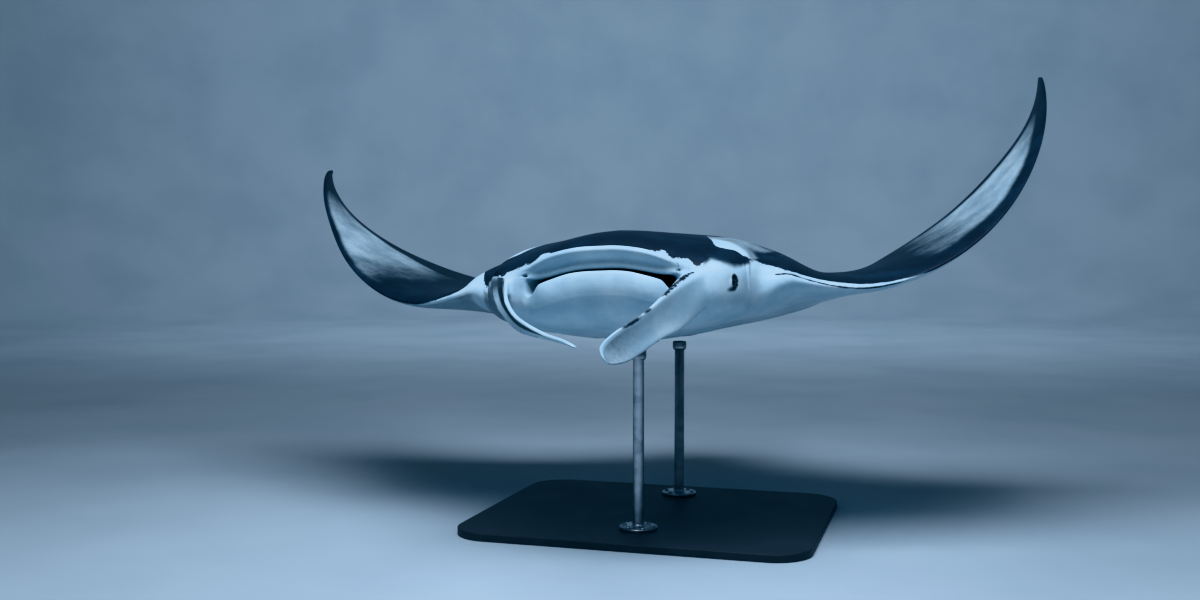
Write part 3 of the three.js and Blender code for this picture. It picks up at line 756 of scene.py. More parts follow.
def soft_dusk_and_shade(at):
    """How dusky the white is, with soft edges: its own grey markings, and painted shade round the eyes, on
    the brows and right cheek, and under the right wing's leading edge.
    """
    # the shoulder patch is crisp in front, and fades inward and behind
    from_tip = np.hypot(at.x - PATCH_TIP[0], at.y - PATCH_TIP[1])
    fading_patch = 0.56 * smoothstep(from_tip, 34, 90) + 0.5 * smoothstep(at.y, 420, 640)
    fading_patch = fading_patch + 0.6 * falling(at.patch, 0, 42) * smoothstep(at.y, 300, 400)
    fading_patch = fading_patch * (at.patch > -6)
    # the left brow darkens towards the black, partly a soft edge of the marking and partly painted shade;
    # the right brow and cheek get painted shade below a thin pale ridge
    before_black = at.reach - at.arc
    left_brow_fade_and_shade = falling(before_black, 0, 46) * smoothstep(at.place, 2.96, 3.3) * falling(at.place, 5.4, 7)
    left_brow_fade_and_shade = 0.75 * left_brow_fade_and_shade * falling(at.patch, -12, -2) * at.left
    right_brow_shade = 0.58 * smoothstep(before_black, 7, 18) * falling(before_black, 150, 300)
    right_brow_shade = right_brow_shade * smoothstep(at.place, 3.0, 3.5) * falling(at.place, 7.3, 7.6) * ~at.left
    # the belly's white ends in a dusky hem, wing tips and tail root
    margin = table(HEM_DUSK, at.place)
    hem = 0.85 * falling(at.before_rear, margin, margin * 2 + 40) * smoothstep(at.place, 8, 10.5)
    tip = 0.9 * smoothstep(at.x, 1330, 1560)
    tail = smoothstep(at.y, 1340, 1470) * falling(at.x, 60, 150)
    # the right wing's leading edge shades the white under it
    edge_shade = 0.5 * smoothstep(-at.arc, 2, 12) * smoothstep(at.place, 7.6, 8) * ~at.left
    underside = np.maximum.reduce([hem, tip, tail, edge_shade])
    dusk = np.where(at.under, underside, np.maximum(fading_patch, left_brow_fade_and_shade))
    # painted shade round the lids, and a painted shadow spread forward under the eye, half as strong on the
    # right
    rim = 0.8 * falling(at.lids, 1.05, 1.5) * (at.out_eye > 0)
    below_eye = np.hypot((at.aft_eye + 8) / 30, (at.above_eye + 17 - 0.15 * at.aft_eye) / 12)
    under_eye_shadow = 0.72 * falling(below_eye, 0.2, 1) * (at.out_eye > -20)
    eye_shade = np.maximum(rim, under_eye_shadow) * np.where(at.left, 1, 0.5)
    return np.maximum.reduce([dusk, right_brow_shade, eye_shade])


def speckling(at):
    """How far the border breaks up into specks: at the ends of the lip and along the brow."""
    lip_end = bump(at.place, 2.4, 1.1) * bump(at.arc, 50, 70)
    brow_edge = 0.5 * bump(at.arc - at.reach, 0, 26) * (at.place < 8)
    return np.maximum(lip_end, brow_edge) * ~at.under


def opening_dark_and_shade(at):
    """How deep in the mouth, a nostril, a gill slit or between the lids. The skin darkens with it: partly
    its own dark and partly painted shade in these hollows.
    """
    throat = bump(at.turn, THROAT_TURN, 2.9) * 2.2 * mouth_open(at.place)
    pit = falling(np.linalg.norm((at.near - nostril_middle()) / (7, 14, 4), axis=-1), 0.6, 1.15)
    depth = np.maximum.reduce([throat, pit, (at.lids < 1.02) * (at.out_eye > 0)])
    for offset, length in gill_offsets(at.near):
        cut = length * np.exp(-((offset / (1.2 * GILL_HALF_WIDTH)) ** 2))
        depth = np.maximum(depth, 0.9 * cut * at.belly)
    return np.clip(depth, 0, 1)


def disc_markings(disc, places):
    """The markings at each point of the disc."""
    at = DiscPlaces(disc, places)
    return {
        "border": crisp_border(at),
        "pale": wing_fields(at),
        "dusk": soft_dusk_and_shade(at),
        "speckle": speckling(at),
        "depth": opening_dark_and_shade(at),
        "spots": bump(at.x, 150, 320) * bump(at.y, 960, 330) * at.belly,
    }


def grown_markings(skin, marks):
    """The same with the points of the fins and the tail."""
    count = len(skin.points)
    grown = {name: np.zeros(count) for name in marks}
    for name, values in marks.items():
        grown[name][:values.size] = values.ravel()
    out, from_upper = skin.out, 0.5 - 0.5 * np.cos(skin.round)

    def paint(organ, **values):
        chosen = skin.organ == organ
        for name, value in values.items():
            grown[name][chosen] = np.broadcast_to(value, count)[chosen]

    # left head fin: a black hem that ends part way down, with two blotches beyond it, and grey towards its
    # tip that is partly its own dusky colour and partly painted shade
    width = 112 * (1 - 0.4 * out)
    hem = 2.6 - from_upper * width - 60 * smoothstep(out, 0.34, 0.42)
    blotch = 5 - np.hypot((out - 0.56) * 330 / 4, from_upper * width - 2)
    small_blotch = 4 - np.hypot((out - 0.45) * 330 / 2, from_upper * width - 1)
    paint("fin_left", border=np.maximum.reduce([hem, blotch, small_blotch]),
          dusk=0.52 * smoothstep(out, 0.3, 0.75) * smoothstep(from_upper, 0.05, 0.16),
          speckle=0.35 * falling(out, 0.1, 0.5) * falling(from_upper, 0.1, 0.3))
    # right head fin: painted shade in the trough between the pale rims, at its root and on its outer flank,
    # which leaves the rims bright like lit edges; specks on its outer side
    trough_shade = 0.76 * smoothstep(from_upper, 0.16, 0.32) * falling(from_upper, 0.6, 0.76)
    trough_shade = trough_shade * falling(out, 0.72, 0.95)
    root = smoothstep(from_upper, 0.1, 0.22) * falling(out, 0.2, 0.36)
    root = root * mix(0.4, 0.72, smoothstep(out, 0.1, 0.2))
    flank_shade = 0.36 * smoothstep(from_upper, 0.94, 0.99)
    paint("fin_right", border=-12, dusk=np.maximum.reduce([trough_shade, root, flank_shade]),
          speckle=smoothstep(from_upper, 0.62, 0.92) * falling(out, 0.6, 0.85))
    paint("tail", border=mix(-30, 60, smoothstep(out, 0, 0.05) + 0.6 * (np.sin(skin.round) > 0)))
    paint("dorsal", border=40)
    paint("pelvic", border=-40, dusk=0.35 + 0.6 * smoothstep(out, 0.4, 1))
    return grown


# ---------- the gliding pose ----------
def span_line(slopes):
    """The wing's bent middle line: its shares, and the places across, up and slope at each."""
    steps = 240
    shares = np.arange(steps + 1) / steps
    middle = np.radians(eased_through(slopes, (np.arange(1, steps + 1) - 0.5) / steps))
    length = (HALF_SPAN - WING_ROOT) / steps
    across = WING_ROOT + np.concatenate([[0], np.cumsum(np.cos(middle) * length)])
    up = np.concatenate([[0], np.cumsum(np.sin(middle) * length)])
    return shares, across, up, np.radians(eased_through(slopes, shares))


def bend_wings(points):
    """Bend and twist everything beyond the wing roots."""
    posed = points.copy()
    fine = np.linspace(0, LAST_PLACE, 481)
    front, rear = spline(FRONT_EDGE, fine), spline(REAR_EDGE, fine)
    for side in (1, -1):
        wing = side * points[:, 0] > WING_ROOT
        out = np.abs(points[wing, 0])
        share = (out - WING_ROOT) / (HALF_SPAN - WING_ROOT)
        shares, across, up, slopes = span_line(WING_SLOPE[side])
        slope = np.interp(share, shares, slopes)
        twist = np.radians(eased_through(WING_TWIST[side], share))
        axis = mix(np.interp(out, *front.T), np.interp(out, *rear.T), 0.4)
        back, z = points[wing, 1] - axis, points[wing, 2]
        lift = z * np.cos(twist) - back * np.sin(twist)
        posed[wing, 0] = side * (np.interp(share, shares, across) - lift * np.sin(slope))
        posed[wing, 1] = axis + back * np.cos(twist) + z * np.sin(twist)
        posed[wing, 2] = np.interp(share, shares, up) + lift * np.cos(slope)
    return posed


def pose(points):
    """Level points in millimetres, bent, pitched, banked, set above the stand and turned to metres."""
    x, y, z = bend_wings(points).T
    pitch, roll = math.radians(NOSE_UP), math.radians(LEFT_WING_UP)
    back = y - PIVOT_Y
    y = back * math.cos(pitch) + z * math.sin(pitch)
    z = z * math.cos(pitch) - back * math.sin(pitch)
    across = x * math.cos(roll) - z * math.sin(roll)
    up = x * math.sin(roll) + z * math.cos(roll)
    return np.stack([across, y + PIVOT_Y - STAND_Y, up + RIDE_HEIGHT], 1) * MM


def make_skin():
    """Points in metres, faces, and markings of the whole skin."""
    places = disc_places()
    level = level_disc(places)
    marks = disc_markings(level, places)
    skin = Skin(relieve(level, places), places)
    roots = []
    for name, side in SIDES.items():
        loop, near = grow_cephalic_fin(skin, side)
        skin.organ[skin.organ == "fin"] = f"fin_{name}"
        roots.append((loop, near, 24))
        loop, near = grow_pelvic_fin(skin, side)
        roots.append((loop, near, 8))
    for grow in (grow_tail, grow_dorsal_fin):
        loop, near = grow(skin)
        roots.append((loop, near, 8))
    for loop, near, rounds in roots:
        chosen = np.zeros(len(skin.points), bool)
        chosen[loop] = chosen[near] = True
        faces = skin.all_faces()
        for _ in range(4):
            touched = chosen[faces].any(1)
            beside = faces[touched].ravel()
            chosen[beside[skin.organ[beside] == "disc"]] = True
        skin.soften(chosen, rounds)
    for wing_tip in (skin.number[0][::-1], skin.number[-1]):
        skin.cap(wing_tip, "disc")
    return skin, grown_markings(skin, marks)


# ---------- materials ----------
def linear(code, alpha=True):
    """An sRGB hex colour as the linear values that shaders take."""
    channels = [int(code[i:i + 2], 16) / 255 for i in (1, 3, 5)]
    channels = [c / 12.92 if c <= 0.04045 else ((c + 0.055) / 1.055) ** 2.4 for c in channels]
    return (*channels, 1.0) if alpha else tuple(channels)


def add(tree, kind, inputs=(), output=None, **settings):
    """Add a node with its settings, and link or set its inputs, by name or in the order it shows them. It
    gives the named output, or the first that the node shows."""
    node = tree.nodes.new(tree.bl_idname.removesuffix("Tree") + kind)
    for name, value in settings.items():
        setattr(node, name, value)
    if isinstance(inputs, dict):
        sockets = [(node.inputs[name], value) for name, value in inputs.items()]
    else:
        sockets = zip([socket for socket in node.inputs if socket.enabled], inputs)
    for socket, value in sockets:
        if isinstance(value, bpy.types.NodeSocket):
            tree.links.new(value, socket)
        else:
            socket.default_value = value
    if output:
        return node.outputs[output]
    return next((socket for socket in node.outputs if socket.enabled), None)


# settings that many nodes share
EASED = {"interpolation_type": "SMOOTHSTEP"}
COLOURS = {"data_type": "RGBA"}


def empty_material(name):
    """A material with no nodes but the one that gives each point's place on its piece."""
    material = bpy.data.materials.new(name)
    material.use_nodes = True
    tree = material.node_tree
    tree.nodes.clear()
    return material, tree, add(tree, "TexCoord", output="Object")


def shade(material, inputs):
    """Give the material its shader, with these inputs."""
    tree = material.node_tree
    add(tree, "OutputMaterial", [add(tree, "BsdfPrincipled", inputs)])
    return material


def hide_material(settings):
    """Manta hide, wet: satin skin set with tiny scales under a thin film of slime. It gives soft broad
    highlights, an even fine tooth, and black markings whose edges break into specks."""
    material, tree, place = empty_material("manta_hide_wet")
    border, speckle, pale, dusk, depth, spots = (
        add(tree, "Attribute", output="Fac", attribute_name=name)
        for name in ("border", "speckle", "pale", "dusk", "depth", "spots"))
    # smooth patterns: the size of their largest features in millimetres, their octaves and roughness
    kinds = [(26, 5, 0.6), (7, 3, 0.7), (5, 3, 0.6), (120, 5, 0.62), (14, 4, 0.7), (60, 4, 0.5),
             (9, 4, 0.6)]
    wander, crumbs, fleck, cloud, grain, swell, pores = (
        add(tree, "TexNoise", [place, 1000 / size, octaves, rough]) for size, octaves, rough in kinds)
    wander, crumbs, fleck, cloud, grain = (
        add(tree, "Math", [pattern, 0.5], operation="SUBTRACT")
        for pattern in (wander, crumbs, fleck, cloud, grain))

    # the crisp border wanders by a few millimetres, and much more where the markings break up
    edge = border
    for pattern, broken, whole in ((wander, 34, 9), (crumbs, 60, 3)):
        width = add(tree, "Math", [speckle, broken, whole], operation="MULTIPLY_ADD")
        edge = add(tree, "Math", [pattern, width, edge], operation="MULTIPLY_ADD")
    crisp = add(tree, "MapRange", [edge, -2, 2.5], **EASED)
    specks = add(tree, "Math", [speckle, 0.12, fleck], operation="MULTIPLY_ADD")
    specks = add(tree, "MapRange", [specks, 0.225, 0.26], **EASED)

    # the soft fields end raggedly: the pale wing fields, and the dusk of grey markings and painted shade
    ragged = add(tree, "Math", [cloud, 0.55], operation="MULTIPLY")
    ragged = add(tree, "Math", [grain, 0.3, ragged], operation="MULTIPLY_ADD")
    pale = add(tree, "Math", [ragged, 0.55, pale], operation="MULTIPLY_ADD")
    pale = add(tree, "MapRange", [pale, 0.22, 0.86], **EASED)
    dusk = add(tree, "Math", [ragged, 0.7, dusk], operation="MULTIPLY_ADD")
    dusk = add(tree, "MapRange", [dusk, 0.2, 0.86], **EASED)

    # dark spots of the belly, each in its own cell, some large and some missing
    centre = add(tree, "TexVoronoi", {"Vector": place, "Scale": 1000 / 105, "Randomness": 0.9})
    size = add(tree, "SeparateColor", [centre.node.outputs["Color"]])
    size = add(tree, "Math", [size, 0.32], operation="MULTIPLY")
    size = add(tree, "Math", [wander, 0.16, size], operation="MULTIPLY_ADD")
    spot = add(tree, "Math", [size, centre], operation="SUBTRACT")
    spot = add(tree, "MapRange", [spot, -0.02, 0.02], **EASED)
    spots = add(tree, "MapRange", [spots, 0.25, 0.5], **EASED)
    spot = add(tree, "Math", [spot, spots], operation="MULTIPLY")

    dark = crisp
    for marking in (specks, dusk, spot):
        dark = add(tree, "Math", [dark, marking], operation="MAXIMUM")
    bare = add(tree, "Math", [1, pale], operation="SUBTRACT")
    dark = add(tree, "Math", [dark, bare], operation="MULTIPLY")

    mottle = add(tree, "MapRange", [cloud, -0.2, 0.25], **EASED)
    white = add(tree, "Mix", [mottle, settings.pale_shade, settings.pale], **COLOURS)
    freckle = add(tree, "MapRange", [grain, 0.1, 0.3, 0, 0.35], **EASED)
    white = add(tree, "Mix", [freckle, white, settings.pale_shade], **COLOURS)
    clouding = add(tree, "MapRange", [cloud, -0.1, 0.3], **EASED)
    black = add(tree, "Mix", [clouding, settings.back, settings.back_sheen], **COLOURS)
    colour = add(tree, "Mix", [dark, white, black], **COLOURS)
    # the mouth, nostrils, gill slits and lids darken inwards: partly the skin's own dark and partly painted
    # shade
    colour = add(tree, "Mix", [depth, colour, settings.hollow_dark_and_shade], **COLOURS)

    rough = add(tree, "Math", [grain, 0.22, settings.roughness], operation="MULTIPLY_ADD")
    rough = add(tree, "Math", [dark, 0.06, rough], operation="MULTIPLY_ADD")
    # the real scales are under a millimetre across; these are drawn at 2.6 mm so that the tooth still shows
    tooth = add(tree, "TexVoronoi", {"Vector": place, "Scale": 1000 / 2.6})
    below = {}
    for height, rise, strength in ((swell, 2.2, 0.5), (pores, 0.6, 0.6), (tooth, 0.18, 0.5)):
        normal = add(tree, "Bump", {"Height": height, "Distance": rise * MM, "Strength": strength, **below})
        below = {"Normal": normal}
    return shade(material, {
        "Base Color": colour, "Roughness": rough, "IOR": 1.42, "Specular IOR Level": 0.34,
        "Coat Weight": 0.05, "Coat Roughness": 0.28, "Normal": normal,
    })


def eye_material(settings):
    """A living eye: moist clear cornea over a dark iris flecked with silver, round a slit pupil. It gives
    one sharp highlight on near-black."""
    material, tree, place = empty_material("eye_moist_cornea")
    away, up = (
        add(tree, "Attribute", output="Fac", attribute_name=name) for name in ("from_gaze", "above_gaze"))
    streaks = add(tree, "TexNoise", {
        "Vector": place, "Scale": 1000 / 5, "Detail": 5, "Roughness": 0.75, "Distortion": 1.5})
    flecks = add(tree, "MapRange", [streaks, 0.45, 0.72], **EASED)
    colour = add(tree, "Mix", [flecks, settings.iris, settings.fleck], **COLOURS)
    # the pupil, its rim and the covered ball, each by how far it lies from the middle of the gaze
    height = add(tree, "Math", [up], operation="ABSOLUTE")
    slit = add(tree, "Math", [height, 2.1, away], operation="MULTIPLY_ADD")
    for reach, none, full, tone in (
            (slit, 13, 10.5, settings.pupil), (away, 14, 16.5, settings.pupil),
            (away, 17.5, 21, settings.eye_white)):
        covered = add(tree, "MapRange", [reach, none, full], **EASED)
        colour = add(tree, "Mix", [covered, colour, tone], **COLOURS)
    return shade(material, {
        "Base Color": colour, "Roughness": 0.12, "IOR": 1.38,
        "Coat Weight": 1, "Coat Roughness": 0.03, "Coat IOR": 1.38,
        "Normal": add(tree, "Bump", {"Height": streaks, "Distance": 0.1 * MM, "Strength": 0.3}),
    })


def coated_steel(settings):
    """Powder-coated steel plate: baked-on textured paint. It gives an even charcoal with a fine orange-peel
    texture, paler flecks and a little dust."""
    material, tree, place = empty_material("plate_powder_coated_steel")
    fleck, dust, peel = (
        add(tree, "TexNoise", [place, 1000 / size, octaves, rough])
        for size, octaves, rough in ((2.4, 3, 0.7), (160, 5, 0.6), (3.2, 3, 0.6)))
    dusty = add(tree, "MapRange", [dust, 0.4, 0.75, 0, 0.5], **EASED)
    colour = add(tree, "Mix", [dusty, settings.plate, settings.dust], **COLOURS)
    flecked = add(tree, "MapRange", [fleck, 0.58, 0.75, 0, 0.35], **EASED)
    return shade(material, {
        "Base Color": add(tree, "Mix", [flecked, colour, settings.dust], **COLOURS),
        "Roughness": add(tree, "Math", [dust, 0.25, 0.42], operation="MULTIPLY_ADD"),
        "IOR": 1.5, "Specular IOR Level": 0.4,
        "Normal": add(tree, "Bump", {"Height": peel, "Distance": 0.22 * MM, "Strength": 0.6}),
    })


def brushed_steel(settings):
    """Stainless steel tube brushed round its axis: it gives bright metal with fine level scratches that
    stretch the highlight up the tube."""
    material, tree, place = empty_material("post_brushed_stainless_steel")
    level = add(tree, "Mapping", {"Vector": place, "Scale": (0.05, 0.05, 1)})
    brush = add(tree, "TexNoise", [level, 1000 / 0.9, 3, 0.8])
    smear = add(tree, "TexNoise", [place, 1000 / 45, 4, 0.6])
    smeared = add(tree, "MapRange", [smear, 0.35, 0.7], **EASED)
    rough = add(tree, "Math", [brush, 0.16, 0.2], operation="MULTIPLY_ADD")
    return shade(material, {
        "Base Color": add(tree, "Mix", [smeared, settings.steel, settings.steel_shade], **COLOURS),
        "Roughness": add(tree, "Math", [smear, 0.1, rough], operation="MULTIPLY_ADD"),
        "Metallic": 1,
        "Normal": add(tree, "Bump", {"Height": brush, "Distance": 0.05 * MM, "Strength": 0.4}),
    })


def moulded_rubber(settings):
    """Moulded black rubber: it gives a dull soft black, faintly bloomed with grey."""
    material, tree, place = empty_material("pad_moulded_rubber")
    bloom = add(tree, "TexNoise", [place, 1000 / 22, 4, 0.65])
    pores = add(tree, "TexNoise", [place, 1000 / 1.4, 2, 0.5])
    bloomed = add(tree, "MapRange", [bloom, 0.45, 0.75], **EASED)
    return shade(material, {
        "Base Color": add(tree, "Mix", [bloomed, settings.rubber, settings.bloom], **COLOURS),
        "Roughness": add(tree, "Math", [bloom, 0.15, 0.66], operation="MULTIPLY_ADD"),
        "IOR": 1.5, "Specular IOR Level": 0.3,
        "Normal": add(tree, "Bump", {"Height": pores, "Distance": 0.12 * MM, "Strength": 0.5}),
    })


def studio_paint(settings):
    """Matt painted cyclorama: it gives an even cool pale ground with the faintest roller mottle."""
    material, tree, place = empty_material("cyclorama_matt_paint")
    mottle = add(tree, "TexNoise", [place, 1000 / 900, 4, 0.5])
    roller = add(tree, "TexNoise", [place, 1000 / 6, 2, 0.5])
    mottled = add(tree, "MapRange", [mottle, 0.3, 0.75], **EASED)
    return shade(material, {
        "Base Color": add(tree, "Mix", [mottled, settings.ground, settings.ground_shade], **COLOURS),
        "Roughness": 0.9, "Specular IOR Level": 0.2,
        "Normal": add(tree, "Bump", {"Height": roller, "Distance": 0.1 * MM, "Strength": 0.2}),
    })


# ---------- meshes ----------
def make_object(name, points, faces, material):
    """A piece at the origin, from points in metres and faces of three or four corners."""
    mesh = bpy.data.meshes.new(name)
    mesh.from_pydata([tuple(p) for p in points], [], [list(face) for face in faces])
    mesh.validate()
    mesh.shade_smooth()
    piece = bpy.data.objects.new(name, mesh)
    bpy.context.scene.collection.objects.link(piece)
    mesh.materials.append(material)
    return piece


def mark(mesh, name, values):
    mesh.attributes.new(name, "FLOAT", "POINT").data.foreach_set("value", np.asarray(values, np.float32))


def stand_for(piece, slot, *nodes):
    """The piece rides on the animal's one body and takes the place of CAD nodes, which it hides. The slot
    is not used.
    """
    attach(piece, "root")
    if nodes:
        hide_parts(*nodes)


def lathe(name, profile, material, middle, up=(0, 0, 1), sides=64):
    """A turned solid on the middle point: its profile is (radius, height) pairs in metres, axis to axis."""
    axis = Vector(up).normalized()
    turn = Vector((0, 0, 1)).rotation_difference(axis).to_matrix()
    points, faces = [], []
    count = len(profile)
    for k in range(sides):
        angle = 2 * math.pi * k / sides
        for radius, height in profile:
            spot = Vector((radius * math.cos(angle), radius * math.sin(angle), height))
            points.append(turn @ spot + Vector(middle))
    for k in range(sides):
        after = (k + 1) % sides
        for i in range(count - 1):
            faces.append((k * count + i, after * count + i, after * count + i + 1, k * count + i + 1))
    return make_object(name, points, faces, material)


# ---------- what a user would change ----------
def colour(name, code, description):
    return bpy.props.FloatVectorProperty(
        name=name, description=description, subtype="COLOR", size=4, min=0, max=1, default=linear(code))


def length(name, millimetres, description):
    return bpy.props.FloatProperty(
        name=name, description=description, subtype="DISTANCE", unit="LENGTH", min=0,
        default=millimetres * MM)


def power(name, watts, description):
    return bpy.props.FloatProperty(name=name, description=description, unit="POWER", min=0, default=watts)


class MantaHide(bpy.types.PropertyGroup):
    """Colours and gloss of the hide"""
    pale: colour("Pale skin", "#C9DEE8", "White of the mouth, belly and outer wings")
    pale_shade: colour("Pale skin, mottled", "#A9C6D6", "Cooler mottling in the white")
    back: colour("Back", "#0E1A26", "Blue-black of the back")
    back_sheen: colour("Back, mottled", "#1B2E3F", "Paler clouding in the blue-black")
    # dark of the hollows: partly the skin's own colour and partly painted shade
    hollow_dark_and_shade: colour("Folds and openings", "#05090E", "Inside of the mouth, nostrils and gill slits")
    roughness: bpy.props.FloatProperty(
        name="Roughness", description="Roughness of the wet hide", subtype="FACTOR", min=0, max=1,
        default=0.48)


class MantaEye(bpy.types.PropertyGroup):
    """Sizes and colours of the eyes"""
    radius: length("Radius", EYE_RADIUS, "Radius of the eyeball")
    bulge: length("Cornea", 1.4, "How far the cornea stands out of the ball")
    iris: colour("Iris", "#0F1418", "Dark of the iris")
    fleck: colour("Flecks", "#55636B", "Silvery flecks in the iris")
    pupil: colour("Pupil", "#020304", "Slit pupil and rim")
    eye_white: colour("Ball", "#1A2228", "Covered part of the eyeball")


class MantaStand(bpy.types.PropertyGroup):
    """Sizes and colours of the display stand"""
    plate_bevel: length("Plate bevel", 3, "Rounding of the base plate's edges")
    flange_radius: length("Flange radius", 59, "Round foot of a post")
    flange_height: length("Flange height", 11, "Thickness of that foot")
    post_radius: length("Post radius", 16.8, "Radius of a post's tube")
    saddle_radius: length("Saddle radius", 61, "Round saddle under the belly")
    bolt_circle: length("Bolt circle", 45, "Radius of the ring of screws in a foot")
    screw_radius: length("Screw head", 7.5, "Radius of a screw's domed head")
    screws: bpy.props.IntProperty(
        name="Screws", description="Screws in each foot", min=3, max=12, default=6)
    plate: colour("Plate", "#25292D", "Powder coat of the base plate")
    dust: colour("Plate dust", "#3C4247", "Paler flecks and dust on the coat")
    steel: colour("Steel", "#B9BEC2", "Stainless steel of the posts")
    steel_shade: colour("Steel, smeared", "#8E959B", "Duller smears on the steel")
    rubber: colour("Rubber", "#121416", "Pads under the belly")
    bloom: colour("Rubber bloom", "#2A2D30", "Grey bloom on the rubber")


class MantaStudio(bpy.types.PropertyGroup):
    """Paint and lights of the studio"""
    ground: colour("Ground", "#B7C4CD", "Painted floor and wall")
    ground_shade: colour("Ground, mottled", "#ACBAC4", "Roller mottle in the paint")
    wall: length("Wall", 14000, "Distance of the round wall")
    cove: length("Cove", 3000, "Radius of the curve from floor to wall")
    key: power("Key light", 170, "Overhead softbox")
    fill: power("Fill light", 3, "Weak front softbox")
    wall_light: power("Wall light", 420, "Wash on the wall")
    sky: bpy.props.FloatProperty(
        name="Ambient", description="Strength of the even light", min=0, default=0.165)


# ---------- pieces ----------
class BuildSkin(bpy.types.Operator):
    """Build the whole hide as one skin, from the mouth to the tail"""
    bl_idname = "manta.skin"
    bl_label = "Skin"

    def execute(self, context):
        skin, marks = make_skin()
        faces = skin.all_faces()
        used, compact = np.unique(faces, return_inverse=True)
        faces = compact.reshape(faces.shape)
        corners = [face[:3] if face[2] == face[3] else face for face in faces.tolist()]
        points = pose(skin.points)[used]
        if not np.isfinite(points).all():
            raise RuntimeError("the skin has points that are not numbers")
        piece = make_object("manta_skin", points, corners, hide_material(context.scene.manta_hide))
        for name, values in marks.items():
            mark(piece.data, name, values[used])
        stand_for(piece, "skin_pale", *FLESH)
        return {"FINISHED"}


class BuildEyes(bpy.types.Operator):
    """Build both eyeballs, each with its cornea turned to the opening of its lids"""
    bl_idname = "manta.eyes"
    bl_label = "Eyes"

    def execute(self, context):
        settings = context.scene.manta_eye
        material = eye_material(settings)
        radius, bulge = settings.radius / MM - EYE_INSET, settings.bulge / MM
        rings, sides = 36, 48
        angle = np.linspace(0, math.pi, rings + 1)[1:-1, None]
        turn = np.linspace(0, 2 * math.pi, sides, endpoint=False)[None]
        reach = radius - bulge + bulge * falling(angle, 0.25, 0.85)
        away, forward = reach * np.sin(angle), reach * np.cos(angle) + 0 * turn
        aft, up = away * np.cos(turn), away * np.sin(turn)
        local = np.stack([aft, up, forward], -1).reshape(-1, 3)
        local = np.concatenate([local, [[0, 0, radius], [0, 0, bulge - radius]]])
        faces = []
        for ring in range(0, (rings - 2) * sides, sides):
            for k in range(sides):
                after = (k + 1) % sides
                faces.append((ring + k, ring + sides + k, ring + sides + after, ring + after))
        front, rear = len(local) - 2, len(local) - 1
        last = (rings - 2) * sides
        faces += [(front, k, (k + 1) % sides) for k in range(sides)]
        faces += [(rear, last + (k + 1) % sides, last + k) for k in range(sides)]
        for name, side in SIDES.items():
            mirror = np.array([side, 1, 1])
            points = (EYE_CENTRE + local @ np.stack([EYE_AFT, EYE_UP, EYE_OPENING])) * mirror
            turned = [face[::-side] for face in faces]
            eye = make_object(f"eyeball_{name}", pose(points), turned, material)
            # the rear half counts as far from the gaze
            mark(eye.data, "from_gaze", np.hypot(local[:, 0], local[:, 1]) + 60 * (local[:, 2] < 0))
            mark(eye.data, "above_gaze", local[:, 1])
            stand_for(eye, "eye", f"eye_{name}")
        return {"FINISHED"}


def ring_faces(rings, count):
    """Faces from each closed ring of points up to the next, and both ends closed."""
    faces = []
    for low in range(0, (rings - 1) * count, count):
        for k in range(count):
            after = (k + 1) % count
            faces.append((low + k, low + after, low + count + after, low + count + k))
    return faces + [tuple(range(count))[::-1], tuple(range((rings - 1) * count, rings * count))]


def rounded_outline(width, depth, corner, inset, steps=14):
    """Corners of a rectangle with rounded corners, drawn in by the inset."""
    points = []
    for quarter, (sx, sy) in enumerate(((1, 1), (-1, 1), (-1, -1), (1, -1))):
        for k in range(steps + 1):
            angle = (quarter + k / steps) * math.pi / 2
            x = sx * (width / 2 - corner) + (corner - inset) * math.cos(angle)
            y = sy * (depth / 2 - corner) + (corner - inset) * math.sin(angle)
            points.append((x, y))
    return points


class BuildPlate(bpy.types.Operator):
    """Build the stand's flat base plate with rounded edges"""
    bl_idname = "manta.plate"
    bl_label = "Base plate"

    def execute(self, context):
        settings = context.scene.manta_stand
        low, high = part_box("stand_base")
        width, depth = (high - low).xy
        bevel = settings.plate_bevel
        quarter = [(1 - math.sin(a), 1 - math.cos(a)) for a in np.linspace(0, math.pi / 2, 7)]
        rings = [(bevel * inset, low.z + bevel * up) for inset, up in quarter]
        rings += [(bevel * inset, high.z - bevel * up) for inset, up in reversed(quarter)]
        points = []
        for inset, z in rings:
            points += [(x, y, z) for x, y in rounded_outline(width, depth, PLATE_CORNER, inset)]
        faces = ring_faces(len(rings), len(points) // len(rings))
        plate = make_object("stand_plate", points, faces, coated_steel(settings))
        for flat_face in list(plate.data.polygons)[-2:]:
            flat_face.use_smooth = False
        stand_for(plate, "stand_base", "stand_base")
        return {"FINISHED"}


def keel(y):
    """The belly's lowest line, posed, in metres."""
    rear_share = REAR_SHARE + TAIL_ROOT_SHARE
    depth = belly_depth(np.array(0.0)) * chord_share(np.array(y / DISC_LENGTH), *BELLY_CHORD, rear_share)
    return Vector(pose(np.array([[0, y, -float(depth)]]))[0])


